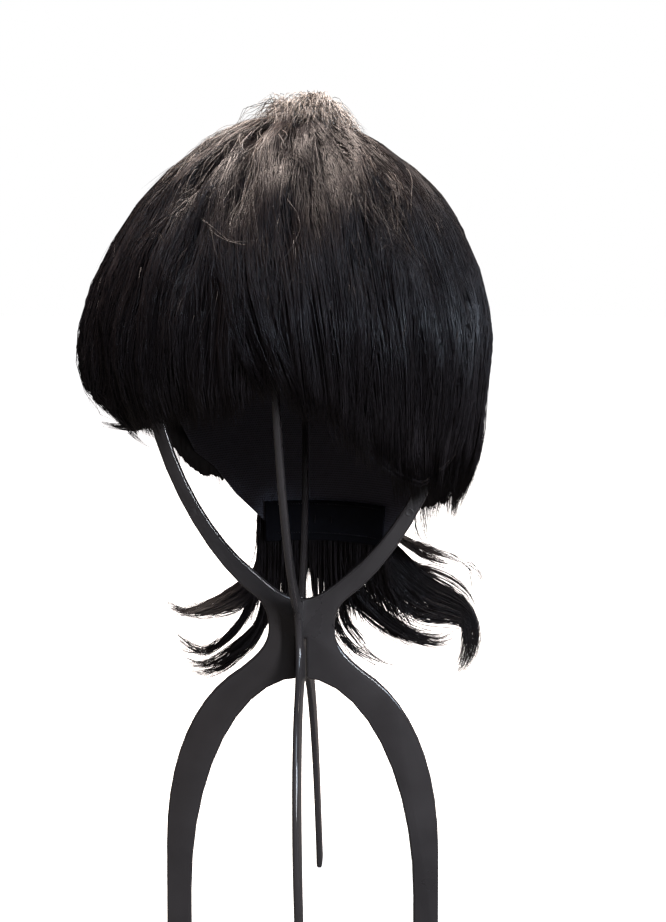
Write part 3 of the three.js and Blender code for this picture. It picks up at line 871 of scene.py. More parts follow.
def grow_layer(locks, strands, roots, depths, past, width, taper, curl, girth, tint=0.4, steps=8,
               between=(0, 360), start=0.05, layered=0.0, sweep=HANGING, wave=0.8, swell=0.04, ridge=0.06):
    """Strands of one layer in locks; returns the angles that they grow at with their bundle."""
    places = (np.arange(locks) + rng.uniform(0.0, 1.0, locks)) / locks
    lock_turn = rng.permutation(between[0] + (between[1] - between[0]) * places)
    lock = np.repeat(np.arange(locks), strands)
    total = locks * strands

    def per_lock(low, high):
        return rng.uniform(low, high, locks)[lock][:, None]

    def per_strand(low, high):
        return evenly(low, high, total)

    t = along_strand(steps)
    turn = lock_turn[lock][:, None]
    stray = FULL_STRAY if past else LAYERED_STRAY
    drift = table_at(sweep, turn) * per_lock(0.85, 1.15) + rng.normal(0, stray, locks)[lock][:, None]
    root = per_lock(*roots) + scatter(2.0, total)
    low = root + per_lock(*LAYERED_LENGTHS) * per_strand(0.7, 1.15)
    if past:
        tip_turn = turn + drift
        ends = end_drop(tip_turn) + table_at(PAST_EDGE, tip_turn)
        ends = ends + per_lock(*past) - UNEVEN_TIPS * rng.random((total, 1)) ** 3
        low = np.where(rng.random((total, 1)) < layered, root + (ends - root) * per_strand(0.4, 0.95), ends)
    drop = root + (low - root) * t
    place = np.clip(scatter(0.5, total), -1.1, 1.1)
    narrowing = 1 - (1 - taper) * smoothstep(0.45, 1.0, t)
    ripple = wave * np.sin(t * per_lock(5, 9) + per_lock(0, 2 * math.pi))
    own = scatter(0.8, total) * np.sin(t * per_strand(3, 9) + per_strand(0, 6))
    ring = RING * np.maximum(np.sin(np.radians(drop)), SMALLEST_RING)
    path_turn = turn + drift * t**1.7 + np.degrees((place * width * narrowing + ripple + own) / ring)
    level = per_lock(*depths) + scatter(0.03, total) - ridge * place**2
    depth = start + (level - start) * smoothstep(0.0, 0.2, t) + per_lock(*curl) * smoothstep(0.72, 1.0, t)
    depth = depth + swell * np.sin(t * per_lock(6, 13) + per_lock(0, 2 * math.pi))
    depth = depth + 0.35 * swell * np.sin(t * per_strand(8, 20) + per_strand(0, 6))
    depth = under_form(depth + relief(path_turn, drop))
    paths = hair_point(path_turn, drop, np.maximum(depth, 0.02))
    # Pale tint of each strand: painted highlight, paler high on the crown and fading lower down
    highlight_tint = tint * (0.5 * per_lock(0, 1) + 0.5 * per_strand(0, 1) ** 1.5)
    highlight_tint = highlight_tint * (1 - HIGHLIGHT_FADE_SHARE * smoothstep(*HIGHLIGHT_FADE_DROPS, drop.mean(axis=1, keepdims=True)))
    # The crown layer gets the painted highlight by the angle round the wig
    if not past:
        highlight_tint = np.minimum(highlight_tint * table_at(CROWN_HIGHLIGHT_TINTS, turn), 1.0)
    radii = STRAND_RADIUS * girth * rng.uniform(0.75, 1.2, total)
    return lock_turn[lock], Bundle(paths, radii, highlight_tint[:, 0], BLUNT if past else POINTED)


def share_out(turns, bundle):
    """Splits a layer's strands between the CAD hair nodes by the angle that they grow at."""
    shared = {}
    for node, (first, last) in GORES.items():
        inside = np.mod(turns - first, 360) < (last - first)
        if inside.any():
            radii, tints = bundle.radii[inside], bundle.tints[inside]
            shared[node] = Bundle(bundle.paths[inside], radii, tints, bundle.tip)
    return shared


hair_bundles = {node: [] for node in GORES}
for layer in LAYERS:
    for node, bundle in share_out(*grow_layer(**layer)).items():
        hair_bundles[node].append(bundle)

# Curves between and along lines
GATHER = (0.15, 0.8)
FINER = 4


def fan(first, last, count, wander, clusters=0, spread=0.03):
    """Paths between two edge lines with equal numbers of points, evenly or in clusters."""
    first, last = np.array(first, float), np.array(last, float)
    share = evenly(0, 1, count)
    if clusters:
        middles = (np.arange(clusters) + rng.uniform(0.2, 0.8, clusters)) / clusters
        own = np.minimum((share * clusters).astype(int), clusters - 1)
        gathered = middles[own] + scatter(spread, count)
        share = share + (gathered - share) * smoothstep(*GATHER, along_strand(len(first)))
    share = share + np.cumsum(rng.normal(0, wander, (count, len(first))), axis=1)
    return first[None] * (1 - share[..., None]) + last[None] * share[..., None]


def trimmed(paths, steps, shortest):
    """Smooth curves through the points, each cut at its own length."""
    fine = FINER * steps
    count = len(paths)
    curves = smooth_path(paths, fine)
    last = rng.uniform(shortest, 1.0, count)
    where = along_strand(steps) * last[:, None] * (fine - 1)
    index = np.minimum(where.astype(int), fine - 2)
    part = (where - index)[..., None]
    rows = np.arange(count)[:, None]
    return curves[rows, index] * (1 - part) + curves[rows, index + 1] * part


# The long strands along the fringe's edge: turn and drop of the lowest and of the highest of them
SWEPT_LOWER = [(12, 110), (20, 116), (28, 120.5), (37, 122.5), (47, 120.5), (57, 116.5)]
SWEPT_UPPER = [(13, 108), (21, 114), (29, 119), (37, 121), (46, 119), (56, 114.5)]
SWEPT_STEPS = 12
SWEPT_FIBRES = 12
SWEPT_DEPTHS = (0.68, 0.88)
SWEPT_GIRTHS = (0.35, 0.5)
SWEPT_TINT = 0.1


def swept_lock(count):
    """A thin lock that comes from under the fringe and turns along its lower edge."""
    angles = trimmed(fan(SWEPT_LOWER, SWEPT_UPPER, count, 0.04), SWEPT_STEPS, 0.7)
    t = along_strand(SWEPT_STEPS)
    rising = 0.4 * (1 - smoothstep(0.0, 0.35, t))
    depth = evenly(*SWEPT_DEPTHS, count) - rising - 0.1 * smoothstep(0.8, 1.0, t)
    return loose_bundle(hair_point(angles[..., 0], angles[..., 1], depth), SWEPT_GIRTHS, SWEPT_TINT)


hair_bundles["fringe_right"].append(swept_lock(SWEPT_FIBRES))

# Stray fibres all over: the least drop that they start at, the range from there, and their lengths
FLYAWAYS = 300
FLYAWAY_DROPS = (8, 80)
FLYAWAY_LENGTHS = (14, 42)
FLYAWAY_DEPTH = 0.92


def add_flyaways(count):
    """Thin stray fibres that stand a little off the hair."""
    turn = rng.uniform(0, 360, count)
    start = FLYAWAY_DROPS[0] + FLYAWAY_DROPS[1] * rng.random(count) ** 1.6
    length = rng.uniform(*FLYAWAY_LENGTHS, count)
    t = along_strand(SHORT_STEPS)
    drop = start[:, None] + length[:, None] * t
    bend = scatter(7, count) * t**1.5
    sway = scatter(1.5, count) * np.sin(t * evenly(2, 7, count))
    near = 1 - 0.6 * smoothstep(20, 55, start)[:, None]
    depth = FLYAWAY_DEPTH + near * rng.gamma(1.6, 0.045, (count, 1)) * smoothstep(0.1, 1.0, t)
    paths = hair_point(turn[:, None] + bend + sway, drop, depth)
    tints = 0.55 * rng.random(count) * (1 - 0.8 * smoothstep(20, 40, start))
    return turn, Bundle(paths, STRAND_RADIUS * rng.uniform(0.45, 0.75, count), tints)


for node, bundle in share_out(*add_flyaways(FLYAWAYS)).items():
    hair_bundles[node].append(bundle)

# Frizz on the crown's left shoulder, pale as painted highlight: the middle and spread of its turns, and the
# drops that it starts at
RIM_TURN = (-58, 17)
RIM_DROPS = (10, 32)
RIM_LENGTHS = (6, 16)
RIM_DEPTH = 0.93
RIM_FIBRES = 260


def shoulder_frizz_highlight(count):
    """Short frizz along the crown's left shoulder, pale as painted highlight."""
    turn = rng.normal(*RIM_TURN, (count, 1))
    t = along_strand(SHORT_STEPS)
    drop = evenly(*RIM_DROPS, count) + evenly(*RIM_LENGTHS, count) * t
    sway = scatter(1.2, count) * np.sin(t * evenly(4, 12, count))
    bend = scatter(9, count) * t
    depth = RIM_DEPTH + rng.gamma(2.0, 0.03, (count, 1)) * np.sin(math.pi * (0.15 + 0.75 * t))
    paths = hair_point(turn + sway + bend, drop, depth)
    return Bundle(paths, STRAND_RADIUS * rng.uniform(0.4, 0.65, count), rng.uniform(0.4, 0.75, count))


# Tuft on the crown, in millimetres in the wig's own frame

def turned(points):
    """Points of the wig's own frame in the shared frame."""
    a = math.radians(WIG_TURN)
    made = points.copy()
    made[..., 0] = points[..., 0] * math.cos(a) - points[..., 1] * math.sin(a)
    made[..., 1] = points[..., 0] * math.sin(a) + points[..., 1] * math.cos(a)
    return made


TUFT_FIBRES = 1100
TUFT_CENTRE = (6.0, 4.0)
TUFT_REACH = (16.0, 9.0)
TUFT_HEIGHTS = [(-14, 7), (-9, 13), (-5, 8), (0, 8), (4, 13), (10, 13), (16, 9), (22, 5)]
TUFT_SPANS = (14, 44)
TUFT_ROOT_SINK = 3.0
TUFT_RIGHT = (23.0, 29.0)
# Painted highlight: the tuft's pale fibres fade with their reach and towards the tuft's border
TUFT_FADES = (20.0, 40.0)
TUFT_FADE = 0.3
TUFT_STRAY_SHARE = 0.12
TUFT_SHORT_SHARE = 0.3
TUFT_DARK_SHARE = 0.3
TUFT_BORDER = 0.2


def crown_tuft(count):
    """Short frizzy fibres that rise from the crown and fall over its front and sides; most are pale, as
    painted highlight.
    """
    s = along_strand(SHORT_STEPS)
    around = evenly(0, 2 * math.pi, count)
    out = np.sqrt(rng.random((count, 1)))
    x = TUFT_CENTRE[0] + TUFT_REACH[0] * out * np.cos(around)
    y = TUFT_CENTRE[1] + TUFT_REACH[1] * out * np.sin(around)
    way = np.radians(1.2 * (x - TUFT_CENTRE[0]) + scatter(20, count))
    way = np.where(rng.random((count, 1)) < TUFT_STRAY_SHARE, evenly(-math.pi, math.pi, count), way)
    heights = read_table(TUFT_HEIGHTS, x)
    heights = heights * evenly(0.25, 1.0, count) ** 0.7
    span = TUFT_SPANS[0] + (TUFT_SPANS[1] - TUFT_SPANS[0]) * rng.random((count, 1)) ** 1.4
    s = s * np.where(rng.random((count, 1)) < TUFT_SHORT_SHARE, evenly(0.3, 0.6, count), 1.0)
    room = (evenly(*TUFT_RIGHT, count) - x) / np.maximum(np.sin(way) * span, 0.1)
    s = s * np.clip(room, 0.1, 1.0)
    flat_x = x + np.sin(way) * span * s
    flat_y = y - np.cos(way) * span * s
    away = np.hypot(flat_x, flat_y)
    form = hair_point(np.degrees(np.arctan2(flat_x, -flat_y)), np.degrees(away / RING), np.ones_like(away))
    z = form[..., 2] / MM + heights * np.sin(math.pi * s**0.48) - TUFT_ROOT_SINK * (1 - s) + 0.4 - 1.2 * s
    path = np.stack([flat_x, flat_y, z], axis=-1)
    frizz = rng.normal(0, 1.0, (count, 1, 3)) * np.sin(s[..., None] * rng.uniform(5, 20, (count, 1, 1)))
    # Painted highlight: most fibres are pale, paler on the shorter fibres and darker towards the tuft's
    # border
    dark = rng.random(count) < TUFT_DARK_SHARE
    tints = np.where(dark, 0.4 * rng.random(count), rng.uniform(0.8, 1.0, count))
    tints = tints * (1 - TUFT_FADE * smoothstep(*TUFT_FADES, np.abs(s[:, -1] * span[:, 0])))
    tints = tints * (1 - TUFT_BORDER * smoothstep(0.72, 1.0, out[:, 0]))
    return Bundle(turned((path + frizz) * MM), STRAND_RADIUS * rng.uniform(0.5, 0.85, count), tints)


tuft_bundles = [crown_tuft(TUFT_FIBRES), shoulder_frizz_highlight(RIM_FIBRES)]
strand_piece("hair_crown_tuft", tuft_bundles, FRIZZ, "hair", "crown_tuft")


# Flipped locks: strands, clusters, root, depths at the start and the end, and upper and lower edge,
# seen from the front in millimetres across and up
TAILS = [
    ("flip_left_1", 280, 5, (-18, 170), (76, 70),
     [(-22, 154), (-29, 146), (-35, 141), (-41, 137), (-48, 133), (-55, 130), (-61, 128), (-66, 129),
      (-74, 134)],
     [(-20, 146), (-25, 135), (-31, 129), (-37, 127), (-44, 126), (-51, 126), (-57, 127), (-63, 128),
      (-72, 132)]),
    ("flip_left_2", 140, 4, (-15, 168), (76, 75),
     [(-24, 140), (-30, 129), (-34, 121), (-39, 115), (-44, 110), (-49, 107), (-54, 105), (-64, 112),
      (-72, 120)],
     [(-21, 138), (-26, 128), (-31, 119), (-36, 113), (-41, 109), (-47, 105), (-54, 104), (-63, 108),
      (-72, 118)]),
    ("flip_left_3", 84, 3, (-12, 167), (77, 79),
     [(-21, 134), (-25, 120), (-29, 115), (-34, 110), (-44, 102), (-50, 98), (-55, 97), (-60, 98),
      (-65, 105)],
     [(-19, 131), (-22, 119), (-26, 112), (-31, 107), (-41, 100), (-47, 96), (-54, 95), (-61, 96),
      (-66, 106)]),
    ("flip_left_4", 96, 3, (-8, 166), (78, 84),
     [(-19, 128), (-24, 117), (-28, 111), (-32, 107), (-42, 98), (-47, 95), (-52, 92), (-59, 92),
      (-65, 94)],
     [(-17, 124), (-20, 116), (-24, 109), (-28, 104), (-39, 95), (-45, 92), (-51, 90), (-59, 90),
      (-66, 93)]),
    ("flip_right_1", 200, 2, (42, 180), (66, 58),
     [(47, 174), (53, 169), (60, 166), (68, 163), (77, 160), (83, 157)],
     [(46, 169), (52, 165), (58, 161), (64, 158), (71, 156), (80, 155)]),
    ("flip_right_2", 560, 9, (36, 172), (70, 66),
     [(44, 168), (52, 161), (60, 152), (70, 145), (80, 139), (88, 132), (93, 122), (93, 110), (89, 101),
      (81, 91)],
     [(36, 148), (45, 136), (54, 128), (63, 123), (74, 122), (83, 121), (85, 115), (84, 107), (82, 99),
      (79, 92)]),
    ("flip_right_2", 60, 12, (40, 172), (70, 66),
     [(50, 163), (60, 153), (68, 152), (75, 150), (81, 147), (87, 141), (91, 134), (92, 126)],
     [(48, 162), (57, 153), (66, 147), (73, 143), (80, 139), (86, 135), (90, 130), (92, 124)]),
    ("flip_right_3", 150, 4, (28, 168), (73, 71),
     [(27, 152), (32, 140), (38, 132), (45, 126), (52, 121), (61, 116), (70, 114), (77, 115), (89, 124)],
     [(24, 148), (29, 135), (35, 128), (42, 121), (50, 116), (59, 112), (69, 110), (77, 111), (89, 121)]),
    ("flip_right_4", 110, 3, (24, 168), (75, 77),
     [(26, 139), (32, 131), (38, 125), (46, 119), (54, 114), (63, 111), (71, 109), (77, 109), (85, 112)],
     [(24, 134), (29, 127), (36, 121), (43, 115), (52, 110), (61, 107), (70, 105), (76, 105), (84, 109)]),
    ("flip_right_5", 60, 3, (18, 167), (77, 82),
     [(22, 138), (25, 123), (30, 115), (36, 107), (43, 101)],
     [(19, 130), (22, 118), (27, 110), (33, 103), (40, 98)]),
    ("flip_right_6", 52, 3, (12, 166), (78, 87),
     [(17, 131), (19, 123), (23, 113), (29, 105), (36, 100), (44, 95), (53, 93)],
     [(15, 126), (17, 117), (21, 109), (28, 101), (35, 96), (43, 92), (52, 90)]),
]
TAIL_STEPS = 14
TAIL_WANDER = 0.02
TAIL_CLUSTER = 0.35
TAIL_DEPTH = 1.4
TAIL_DEPTH_GROWTH = (0.9, 3.4)
TAIL_SHORTEST = 0.72
TAIL_GIRTHS = (0.65, 1.0)
TAIL_TINT = 0.25

# Loose fibres beside the locks, in the same terms: how many, how far apart, depths and their line
WISPS = [
    ("flip_left_1", 7, 0.5, (76, 70), [(-26, 134), (-32, 127), (-43, 124), (-54, 124), (-63, 127)]),
    ("flip_left_1", 4, 0.5, (76, 72), [(-25, 130), (-31, 123), (-37, 119), (-44, 117), (-55, 117)]),
    ("flip_left_1", 9, 1.6, (75, 70), [(-55, 128), (-62, 128), (-68, 131), (-73, 135), (-77, 138)]),
    ("flip_left_2", 11, 0.7, (76, 75),
     [(-41, 110), (-49, 106), (-54, 105), (-61, 105), (-68, 109), (-76, 118)]),
    ("flip_left_2", 12, 0.6, (76, 75),
     [(-44, 111.5), (-49, 108), (-54, 106.5), (-59, 108), (-64, 112.5), (-69, 117), (-73, 121)]),
    ("flip_left_3", 10, 0.5, (77, 79),
     [(-44, 103), (-49, 99.5), (-54, 98), (-60, 99.5), (-63, 102), (-65, 107)]),
    ("flip_left_4", 10, 0.5, (80, 84),
     [(-36, 102), (-41, 98.5), (-46, 96), (-51, 94.5), (-56, 94), (-61, 95), (-65, 98)]),
    ("flip_left_4", 9, 0.9, (78, 82), [(-16, 126), (-19, 118), (-22, 111), (-27, 103), (-32, 97)]),
    ("flip_right_1", 9, 1.2, (66, 60),
     [(58, 186), (59, 178), (60, 171), (63, 166), (70, 162), (77, 159)]),
    ("flip_right_1", 6, 0.9, (66, 60), [(62, 186), (63, 178), (64, 171), (67, 165), (72, 161)]),
    ("flip_right_2", 12, 1.0, (66, 62),
     [(78, 158), (84, 155), (89, 153), (93, 149), (95, 143), (94, 136), (92, 129)]),
    ("flip_right_2", 7, 0.8, (66, 62),
     [(84, 154), (88, 151), (89, 146), (90, 140), (93, 135), (95, 132)]),
    ("flip_right_3", 16, 0.9, (73, 71),
     [(34, 148), (38, 140), (43, 133), (50, 127), (57, 121), (65, 118), (73, 117), (85, 122)]),
    ("flip_right_5", 7, 0.7, (77, 82),
     [(24, 134), (30, 126), (36, 118), (46, 110), (56, 104), (65, 100), (73, 100)]),
    ("flip_right_5", 5, 0.5, (80, 82),
     [(33, 105), (38, 100), (43, 96), (49, 94), (55, 95), (57, 98), (58, 102)]),
    ("flip_right_6", 10, 1.0, (78, 87),
     [(14, 128), (17, 118), (19, 110), (25, 100), (34, 93), (41, 90), (50, 86)]),
]
SIDE_WISPS = [
    ("side_left", 44, 0.75, (-36, -25),
     [(-63, 243.5), (-67, 242.2), (-72, 241.5), (-77, 241.4), (-82, 241.8), (-87, 242.8)]),
    ("side_left", 5, 0.6, (-36, -30), [(-72, 241), (-69, 238), (-66, 235), (-62, 232)]),
    ("side_right", 7, 0.5, (0, 6),
     [(83, 258), (82, 248), (80.5, 237), (79, 227), (78, 218), (77.5, 210)]),
    ("side_right", 9, 0.6, (-40, -10), [(52, 220), (58, 217), (65, 215), (75, 212.5)]),
]
WISP_STEPS = 12
WISP_SHORTEST = 0.6
WISP_GIRTHS = (0.5, 0.8)
WISP_TINT = 0.6


def tail_strands(count, clusters, root, depth, upper, lower):
    """Strands that fan between the two edges of a flipped lock."""
    flat = fan(upper, lower, count, TAIL_WANDER, clusters, TAIL_CLUSTER / clusters)
    steps = flat.shape[1]
    spread = scatter(TAIL_DEPTH, count) * np.linspace(*TAIL_DEPTH_GROWTH, steps)[None]
    back = np.linspace(*depth, steps)[None] + spread
    points = np.stack([flat[..., 0], back, flat[..., 1]], axis=-1)
    start = np.stack(
        [
            root[0] + rng.normal(0, 2.5, count),
            depth[0] - 1 + rng.normal(0, 1.2, count),
            root[1] + rng.uniform(-2, 3, count),
        ],
        axis=1,
    )
    paths = trimmed(np.concatenate([start[:, None], points], axis=1), TAIL_STEPS, TAIL_SHORTEST)
    return loose_bundle(turned(paths * MM), TAIL_GIRTHS, TAIL_TINT)


def wisp_strands(count, loose, depth, line):
    """A few loose fibres side by side along one line."""
    offsets = rng.normal(0, loose, (count, 1, 2)) * np.array([0.6, 1.0])
    drift = np.cumsum(rng.normal(0, 0.25 * loose, (count, len(line), 2)), axis=1)
    closing = np.linspace(1.0, 0.5, len(line))[None, :, None]
    flat = np.array(line, float)[None] + offsets * closing + drift
    back = np.linspace(*depth, len(line))[None] + scatter(1.0, count)
    paths = trimmed(np.stack([flat[..., 0], back, flat[..., 1]], axis=-1), WISP_STEPS, WISP_SHORTEST)
    return loose_bundle(turned(paths * MM), WISP_GIRTHS, WISP_TINT)


for name, *wisp in SIDE_WISPS:
    hair_bundles[name].append(wisp_strands(*wisp))

# The weft that the strands are sewn to: a dark sheet close to the cap, with a ragged lower edge
WEFT_DEPTHS = (0.06, 0.34)
WEFT_TOP = 40.0
WEFT_ROWS = 11
WEFT_COLUMNS = 450
WEFT_SHORT = [(-180, 2), (-62, 2), (-50, 5), (-38, 8), (15, 9), (32, 6), (48, 3), (180, 2)]
WEFT_RAGGED = 0.4
WEFT_PAST = 4.0


def weft_mesh():
    """A closed sheet between the cap and the strands, from under the crown to just above their ends."""
    turn = np.arange(WEFT_COLUMNS) * 360.0 / WEFT_COLUMNS
    ends = end_drop(turn) + np.minimum(table_at(PAST_EDGE, turn), WEFT_PAST) - table_at(WEFT_SHORT, turn)
    ends = ends + rng.uniform(-WEFT_RAGGED, WEFT_RAGGED, WEFT_COLUMNS)
    s = np.linspace(0, 1, WEFT_ROWS)[:, None]
    drop = WEFT_TOP + (ends - WEFT_TOP)[None] * s
    inner, outer = WEFT_DEPTHS
    thick = inner + (outer - inner) * (1 - 0.9 * smoothstep(0.8, 1.0, s)) + 0 * drop
    across = np.broadcast_to(turn, drop.shape)
    walls = [hair_point(across, drop, thick), hair_point(across, drop, np.full_like(drop, inner))]
    vertices = np.concatenate([wall.reshape(-1, 3) for wall in walls])
    back = WEFT_ROWS * WEFT_COLUMNS
    faces = []
    for column in range(WEFT_COLUMNS):
        after = (column + 1) % WEFT_COLUMNS
        for row in range(WEFT_ROWS - 1):
            here, below = row * WEFT_COLUMNS, (row + 1) * WEFT_COLUMNS
            outside = (here + column, below + column, below + after, here + after)
            faces.append(outside)
            faces.append(tuple(back + outside[corner] for corner in (0, 3, 2, 1)))
        last = (WEFT_ROWS - 1) * WEFT_COLUMNS
        faces.append((column, after, back + after, back + column))
        faces.append((last + column, back + last + column, back + last + after, last + after))
    mesh = bpy.data.meshes.new("hair_weft")
    mesh.from_pydata(vertices.tolist(), [], faces)
    mesh.polygons.foreach_set("use_smooth", np.ones(len(faces), bool))
    return mesh


part_of_wig(link_piece("hair_weft", weft_mesh(), HAIR), "hair")
for node, bundles in hair_bundles.items():
    strand_piece("hair_" + node, bundles, HAIR, "hair", node)

flips = {tail[0]: [] for tail in TAILS}
for name, *tail in TAILS:
    flips[name].append(tail_strands(*tail))
for name, *wisp in WISPS:
    flips[name].append(wisp_strands(*wisp))
for name, bundles in flips.items():
    strand_piece("hair_" + name, bundles, HAIR, "hair", name)


# Nape hair: gaps are the place across, half the width at the top and half the width at the bottom

NAPE_FIBRES = 1350
NAPE_SPAN = (-23.5, 46.0)
NAPE_GAPS = [(3.8, 0.9, 3.2), (14.5, 0.5, 1.7)]
NAPE_RADIUS = 76.0
NAPE_ROUND = 0.92
NAPE_LEAN = 2.0
NAPE_LENGTHS = (34, 66)
NAPE_RISE = 14.0
NAPE_GIRTHS = (1.0, 1.7)
NAPE_TINT = 0.2
NAPE_PARTING = [(-24, -8), (-16, -4), (-8, -1), (4, 0), (14, 2), (30, 9), (46, 18)]


def nape_curtain(count):
    """Fibres that hang from the nape band and part towards the flipped locks."""
    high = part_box("nape_hair")[1]
    across = evenly(*NAPE_SPAN, count)
    t = along_strand(SHORT_STEPS)
    length = NAPE_LENGTHS[0] + (NAPE_LENGTHS[1] - NAPE_LENGTHS[0]) * rng.random((count, 1)) ** 0.6
    x = across + scatter(1.0, count) * t + read_table(NAPE_PARTING, across) * smoothstep(0.45, 1.1, t)
    for place, top, bottom in NAPE_GAPS:
        half = top + (bottom - top) * smoothstep(0.4, 0.9, t)
        push = np.maximum(half - np.abs(x - place), 0.0) * smoothstep(0.35, 0.6, t)
        x = x + np.where(across > place, 1.0, -1.0) * push
    back = np.sqrt(NAPE_RADIUS**2 - (NAPE_ROUND * across) ** 2) + scatter(1.6, count)
    z = high.z / MM + NAPE_RISE - length * t
    paths = turned(np.stack([x, back + NAPE_LEAN * t, z], axis=-1) * MM)
    return loose_bundle(paths, NAPE_GIRTHS, NAPE_TINT)


COVER_FIBRES = 330
COVER_DROPS = (84, 100)
COVER_LENGTHS = (8, 34)
COVER_STEPS = 6
COVER_LEAN = 0.12
COVER_STRAY = 0.06
COVER_GIRTHS = (0.8, 1.3)
COVER_TINT = 0.1


def nape_cover(count):
    """Longer strands of the back that run over the cap's hem into the nape hair."""
    across = evenly(*NAPE_SPAN, count)
    turn = np.degrees(np.arctan2(across, -NAPE_RADIUS))
    t = along_strand(COVER_STEPS)
    root = evenly(*COVER_DROPS, count)
    drop = root + (end_drop(turn) - root) * t
    upper = hair_point(turn + 0 * drop, drop, evenly(0.85, 1.0, count) * (0.55 + 0.45 * t))
    fall = evenly(*COVER_LENGTHS, count) * MM * (t[:, 1:] ** 1.2)
    lower = np.repeat(upper[:, -1:], COVER_STEPS - 1, axis=1)
    lower[..., 2] -= fall
    lower[..., 1] += COVER_LEAN * fall
    lower[..., 0] += fall * scatter(COVER_STRAY, count)
    paths = smooth_path(np.concatenate([upper, lower], axis=1), 2 * COVER_STEPS)
    return loose_bundle(paths, COVER_GIRTHS, COVER_TINT)


nape_bundles = [nape_curtain(NAPE_FIBRES), nape_cover(COVER_FIBRES)]
strand_piece("hair_nape_hair", nape_bundles, HAIR, "hair", "nape_hair")


# Stitches along the nape band, and curled stray fibres on the hair

BAND_TURNS = (147, 191)
STITCH_STEP = 1.1
STITCH_HALF = (0.35, 0.4 * MM)
STITCH_RADIUS = 0.16 * MM
STITCH_INSET = 0.15 * MM
STITCH_MARGIN = 1.6 * MM
STITCH_POINTS = 5


def band_stitches():
    """Two rows of small slanted stitches on the inner side of the nape band."""
    low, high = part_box("nape_band")
    tree = node_tree("nape_band")
    rows = []
    for up in (low.z + STITCH_MARGIN, high.z - STITCH_MARGIN):
        for turn in np.arange(*BAND_TURNS, STITCH_STEP):
            ends = []
            for end in (-1, 0, 1):
                way = heading(turn + end * STITCH_HALF[0], 90)
                hit = tree.ray_cast(Vector((0, 0, up + end * STITCH_HALF[1])), way)[0]
                if hit:
                    ends.append(hit - way * STITCH_INSET)
            if len(ends) == 3:
                rows.append(ends)
    paths = smooth_path(np.array([[list(p) for p in row] for row in rows]), STITCH_POINTS)
    count = len(paths)
    return Bundle(paths, np.full(count, STITCH_RADIUS), rng.random(count))


strand_piece("nape_band_stitches", [band_stitches()], THREAD, "band_elastic")

# Stray fibres: how many lie side by side, how pale they are as painted highlight, and turn, drop and depth
# along them
CURLS = [
    (2, 0.62, [(-14.3, 41.5, 0.98), (-14, 46.6, 1.05), (-15.2, 48.9, 1.06), (-16.6, 50.8, 1.0)]),
    (1, 0.6, [(-29.6, 56.1, 0.99), (-23.4, 59.6, 1.05), (-17.5, 63.0, 1.06), (-9.8, 62.6, 1.0)]),
    (1, 0.57, [(-25.5, 58.9, 1.0), (-20.6, 61.9, 1.05), (-14.8, 63.7, 1.05), (-11.2, 63.4, 0.99)]),
    (1, 0.58, [(-25, 59, 0.98), (-23.6, 61.5, 1.0), (-22.2, 64.6, 1.0), (-19.9, 68, 0.98)]),
    (1, 0.58, [(-1.6, 72.3, 0.98), (0.2, 72.9, 1.0), (2.4, 73.1, 1.0), (4.6, 72.8, 0.98)]),
    (1, 0.6, [(52, 36.5, 0.99), (48.9, 40, 1.01), (40, 47.5, 1.01), (34, 55.8, 0.99)]),
    (1, 0.55, [(23.1, 62.5, 0.99), (22, 63.3, 1.0), (20.7, 64, 1.0), (19.5, 64.7, 0.99)]),
    (1, 0.55, [(-41.9, 60.3, 0.98), (-40.6, 61.2, 1.0), (-39.3, 62.1, 1.0), (-38, 63, 0.98)]),
]
CURL_STEPS = 12


def stray_curls():
    """Fibres that lie across the hair, alone or in twos, pale as painted highlight."""
    points = np.concatenate([np.repeat(np.array([curl[2]], float), curl[0], axis=0) for curl in CURLS])
    # Painted highlight: each curl's pale tint
    tints = np.concatenate([np.full(curl[0], curl[1]) for curl in CURLS])
    count = len(points)
    points[..., :2] += rng.normal(0, 0.2, (count, 1, 2))
    angles = smooth_path(points, CURL_STEPS)
    paths = hair_point(angles[..., 0], angles[..., 1], angles[..., 2])
    radii = STRAND_RADIUS * rng.uniform(0.35, 0.5, count)
    return Bundle(paths, radii, tints + rng.normal(-0.02, 0.02, count))


strand_piece("hair_stray_curls", [stray_curls()], FRIZZ, "hair")


# Studio

FLOOR_SIZE = 12.0


def studio_floor():
    """A wide paper floor that the object stands on."""
    bpy.ops.object.select_all(action="DESELECT")
    bpy.ops.mesh.primitive_plane_add(size=FLOOR_SIZE, location=(0, 0, 0))
    floor = bpy.context.active_object
    floor.name = "studio_floor"
    floor.data.materials.append(floor_material())


def area_light(name, place, target, size, power, colour):
    """A soft rectangular light aimed at a point."""
    data = bpy.data.lights.new(name, "AREA")
    data.shape = "RECTANGLE"
    data.size, data.size_y = size
    data.energy = power
    data.color = colour
    light = bpy.data.objects.new(name, data)
    bpy.context.scene.collection.objects.link(light)
    light.location = place
    light.rotation_euler = (Vector(target) - Vector(place)).to_track_quat("-Z", "Y").to_euler()
    return light


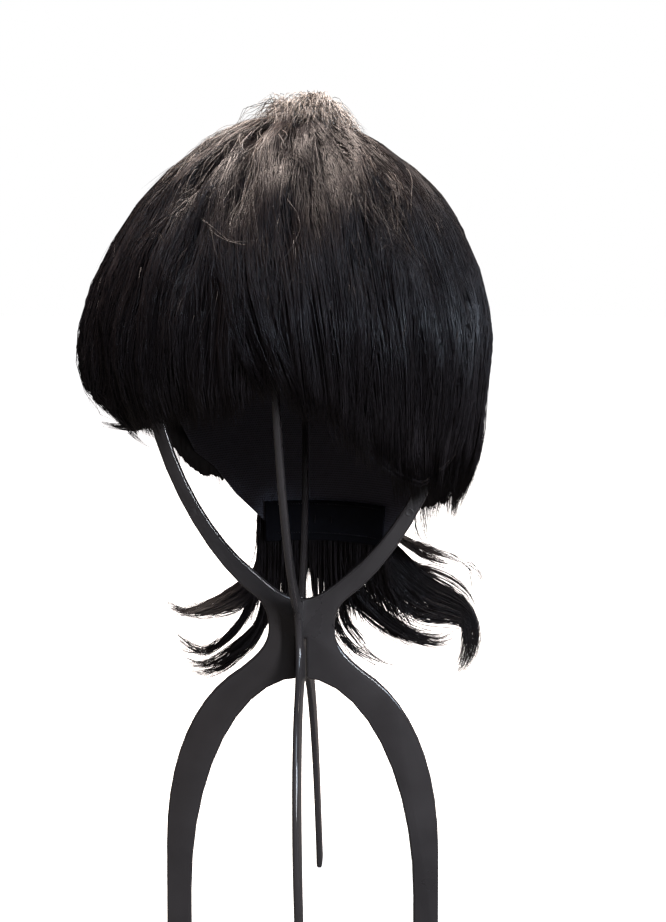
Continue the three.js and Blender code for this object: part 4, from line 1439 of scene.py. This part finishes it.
def studio_world():
    """White behind the object for the camera; for the light, a dim room with a pale backdrop behind."""
    world = bpy.data.worlds.new("studio_world")
    bpy.context.scene.world = world
    world.use_nodes = True
    tree = world.node_tree
    tree.nodes.clear()
    way = add_node(tree, "SeparateXYZ", {0: add_node(tree, "TexCoord").outputs["Generated"]})
    behind = range_node(tree, way.outputs["Y"], 0.75, 0.97)
    room = blend_node(tree, behind, (0.092, 0.082, 0.09, 1), (0.8, 0.8, 0.82, 1))
    seen = add_node(tree, "LightPath").outputs["Is Camera Ray"]
    tone = blend_node(tree, seen, room, (1, 1, 1, 1))
    background = add_node(tree, "Background", {"Color": tone, "Strength": 1.0})
    add_node(tree, "OutputWorld", {"Surface": background.outputs[0]})


def photo_camera():
    """The camera where the photograph was taken from."""
    data = bpy.data.cameras.new("photo_camera")
    data.sensor_fit = "AUTO"
    data.sensor_width = SENSOR
    data.lens = FOCAL_PIXELS / PHOTO_HEIGHT * SENSOR
    data.shift_y = CAMERA_SHIFT
    camera = bpy.data.objects.new("photo_camera", data)
    bpy.context.scene.collection.objects.link(camera)
    a = math.radians(CAMERA_AZIMUTH)
    camera.location = (CAMERA_DISTANCE * math.sin(a), -CAMERA_DISTANCE * math.cos(a), CAMERA_HEIGHT)
    tilt = math.radians(90 - CAMERA_PITCH)
    camera.rotation_euler = (tilt, 0, math.radians(CAMERA_AZIMUTH - CAMERA_YAW))
    bpy.context.scene.camera = camera


studio_floor()
studio_world()
HEAD = (0, 0, 0.3)
area_light("warm_overhead", (-0.33, 0.14, 1.2), HEAD, (0.6, 0.36), 25, (1.0, 0.84, 0.75))
area_light("rim_back", (-0.05, 0.95, 0.8), (0, 0, 0.37), (0.5, 0.25), 6, (1.0, 0.93, 0.87))
area_light("warm_right", (0.5, 0.02, 1.0), HEAD, (0.3, 0.3), 5, (1.0, 0.86, 0.76))
area_light("cool_window", (0.35, -1.0, 1.15), HEAD, (0.35, 0.5), 7, (0.72, 0.84, 1.0))
area_light("cool_side", (0.95, -0.62, 0.45), (0, 0, 0.27), (0.25, 0.3), 7.5, (0.7, 0.83, 1.0))
stand_only = bpy.data.collections.new("stand_only")
for piece in stand_pieces:
    stand_only.objects.link(piece)
stand_strip = area_light(
    "stand_strip", (0.5, -0.85, 0.45), (-0.03, 0, 0.18), (0.08, 0.5), 11, (0.9, 0.94, 1.0)
)
stand_strip.light_linking.receiver_collection = stand_only
photo_camera()
bpy.context.scene.view_settings.view_transform = "Standard"
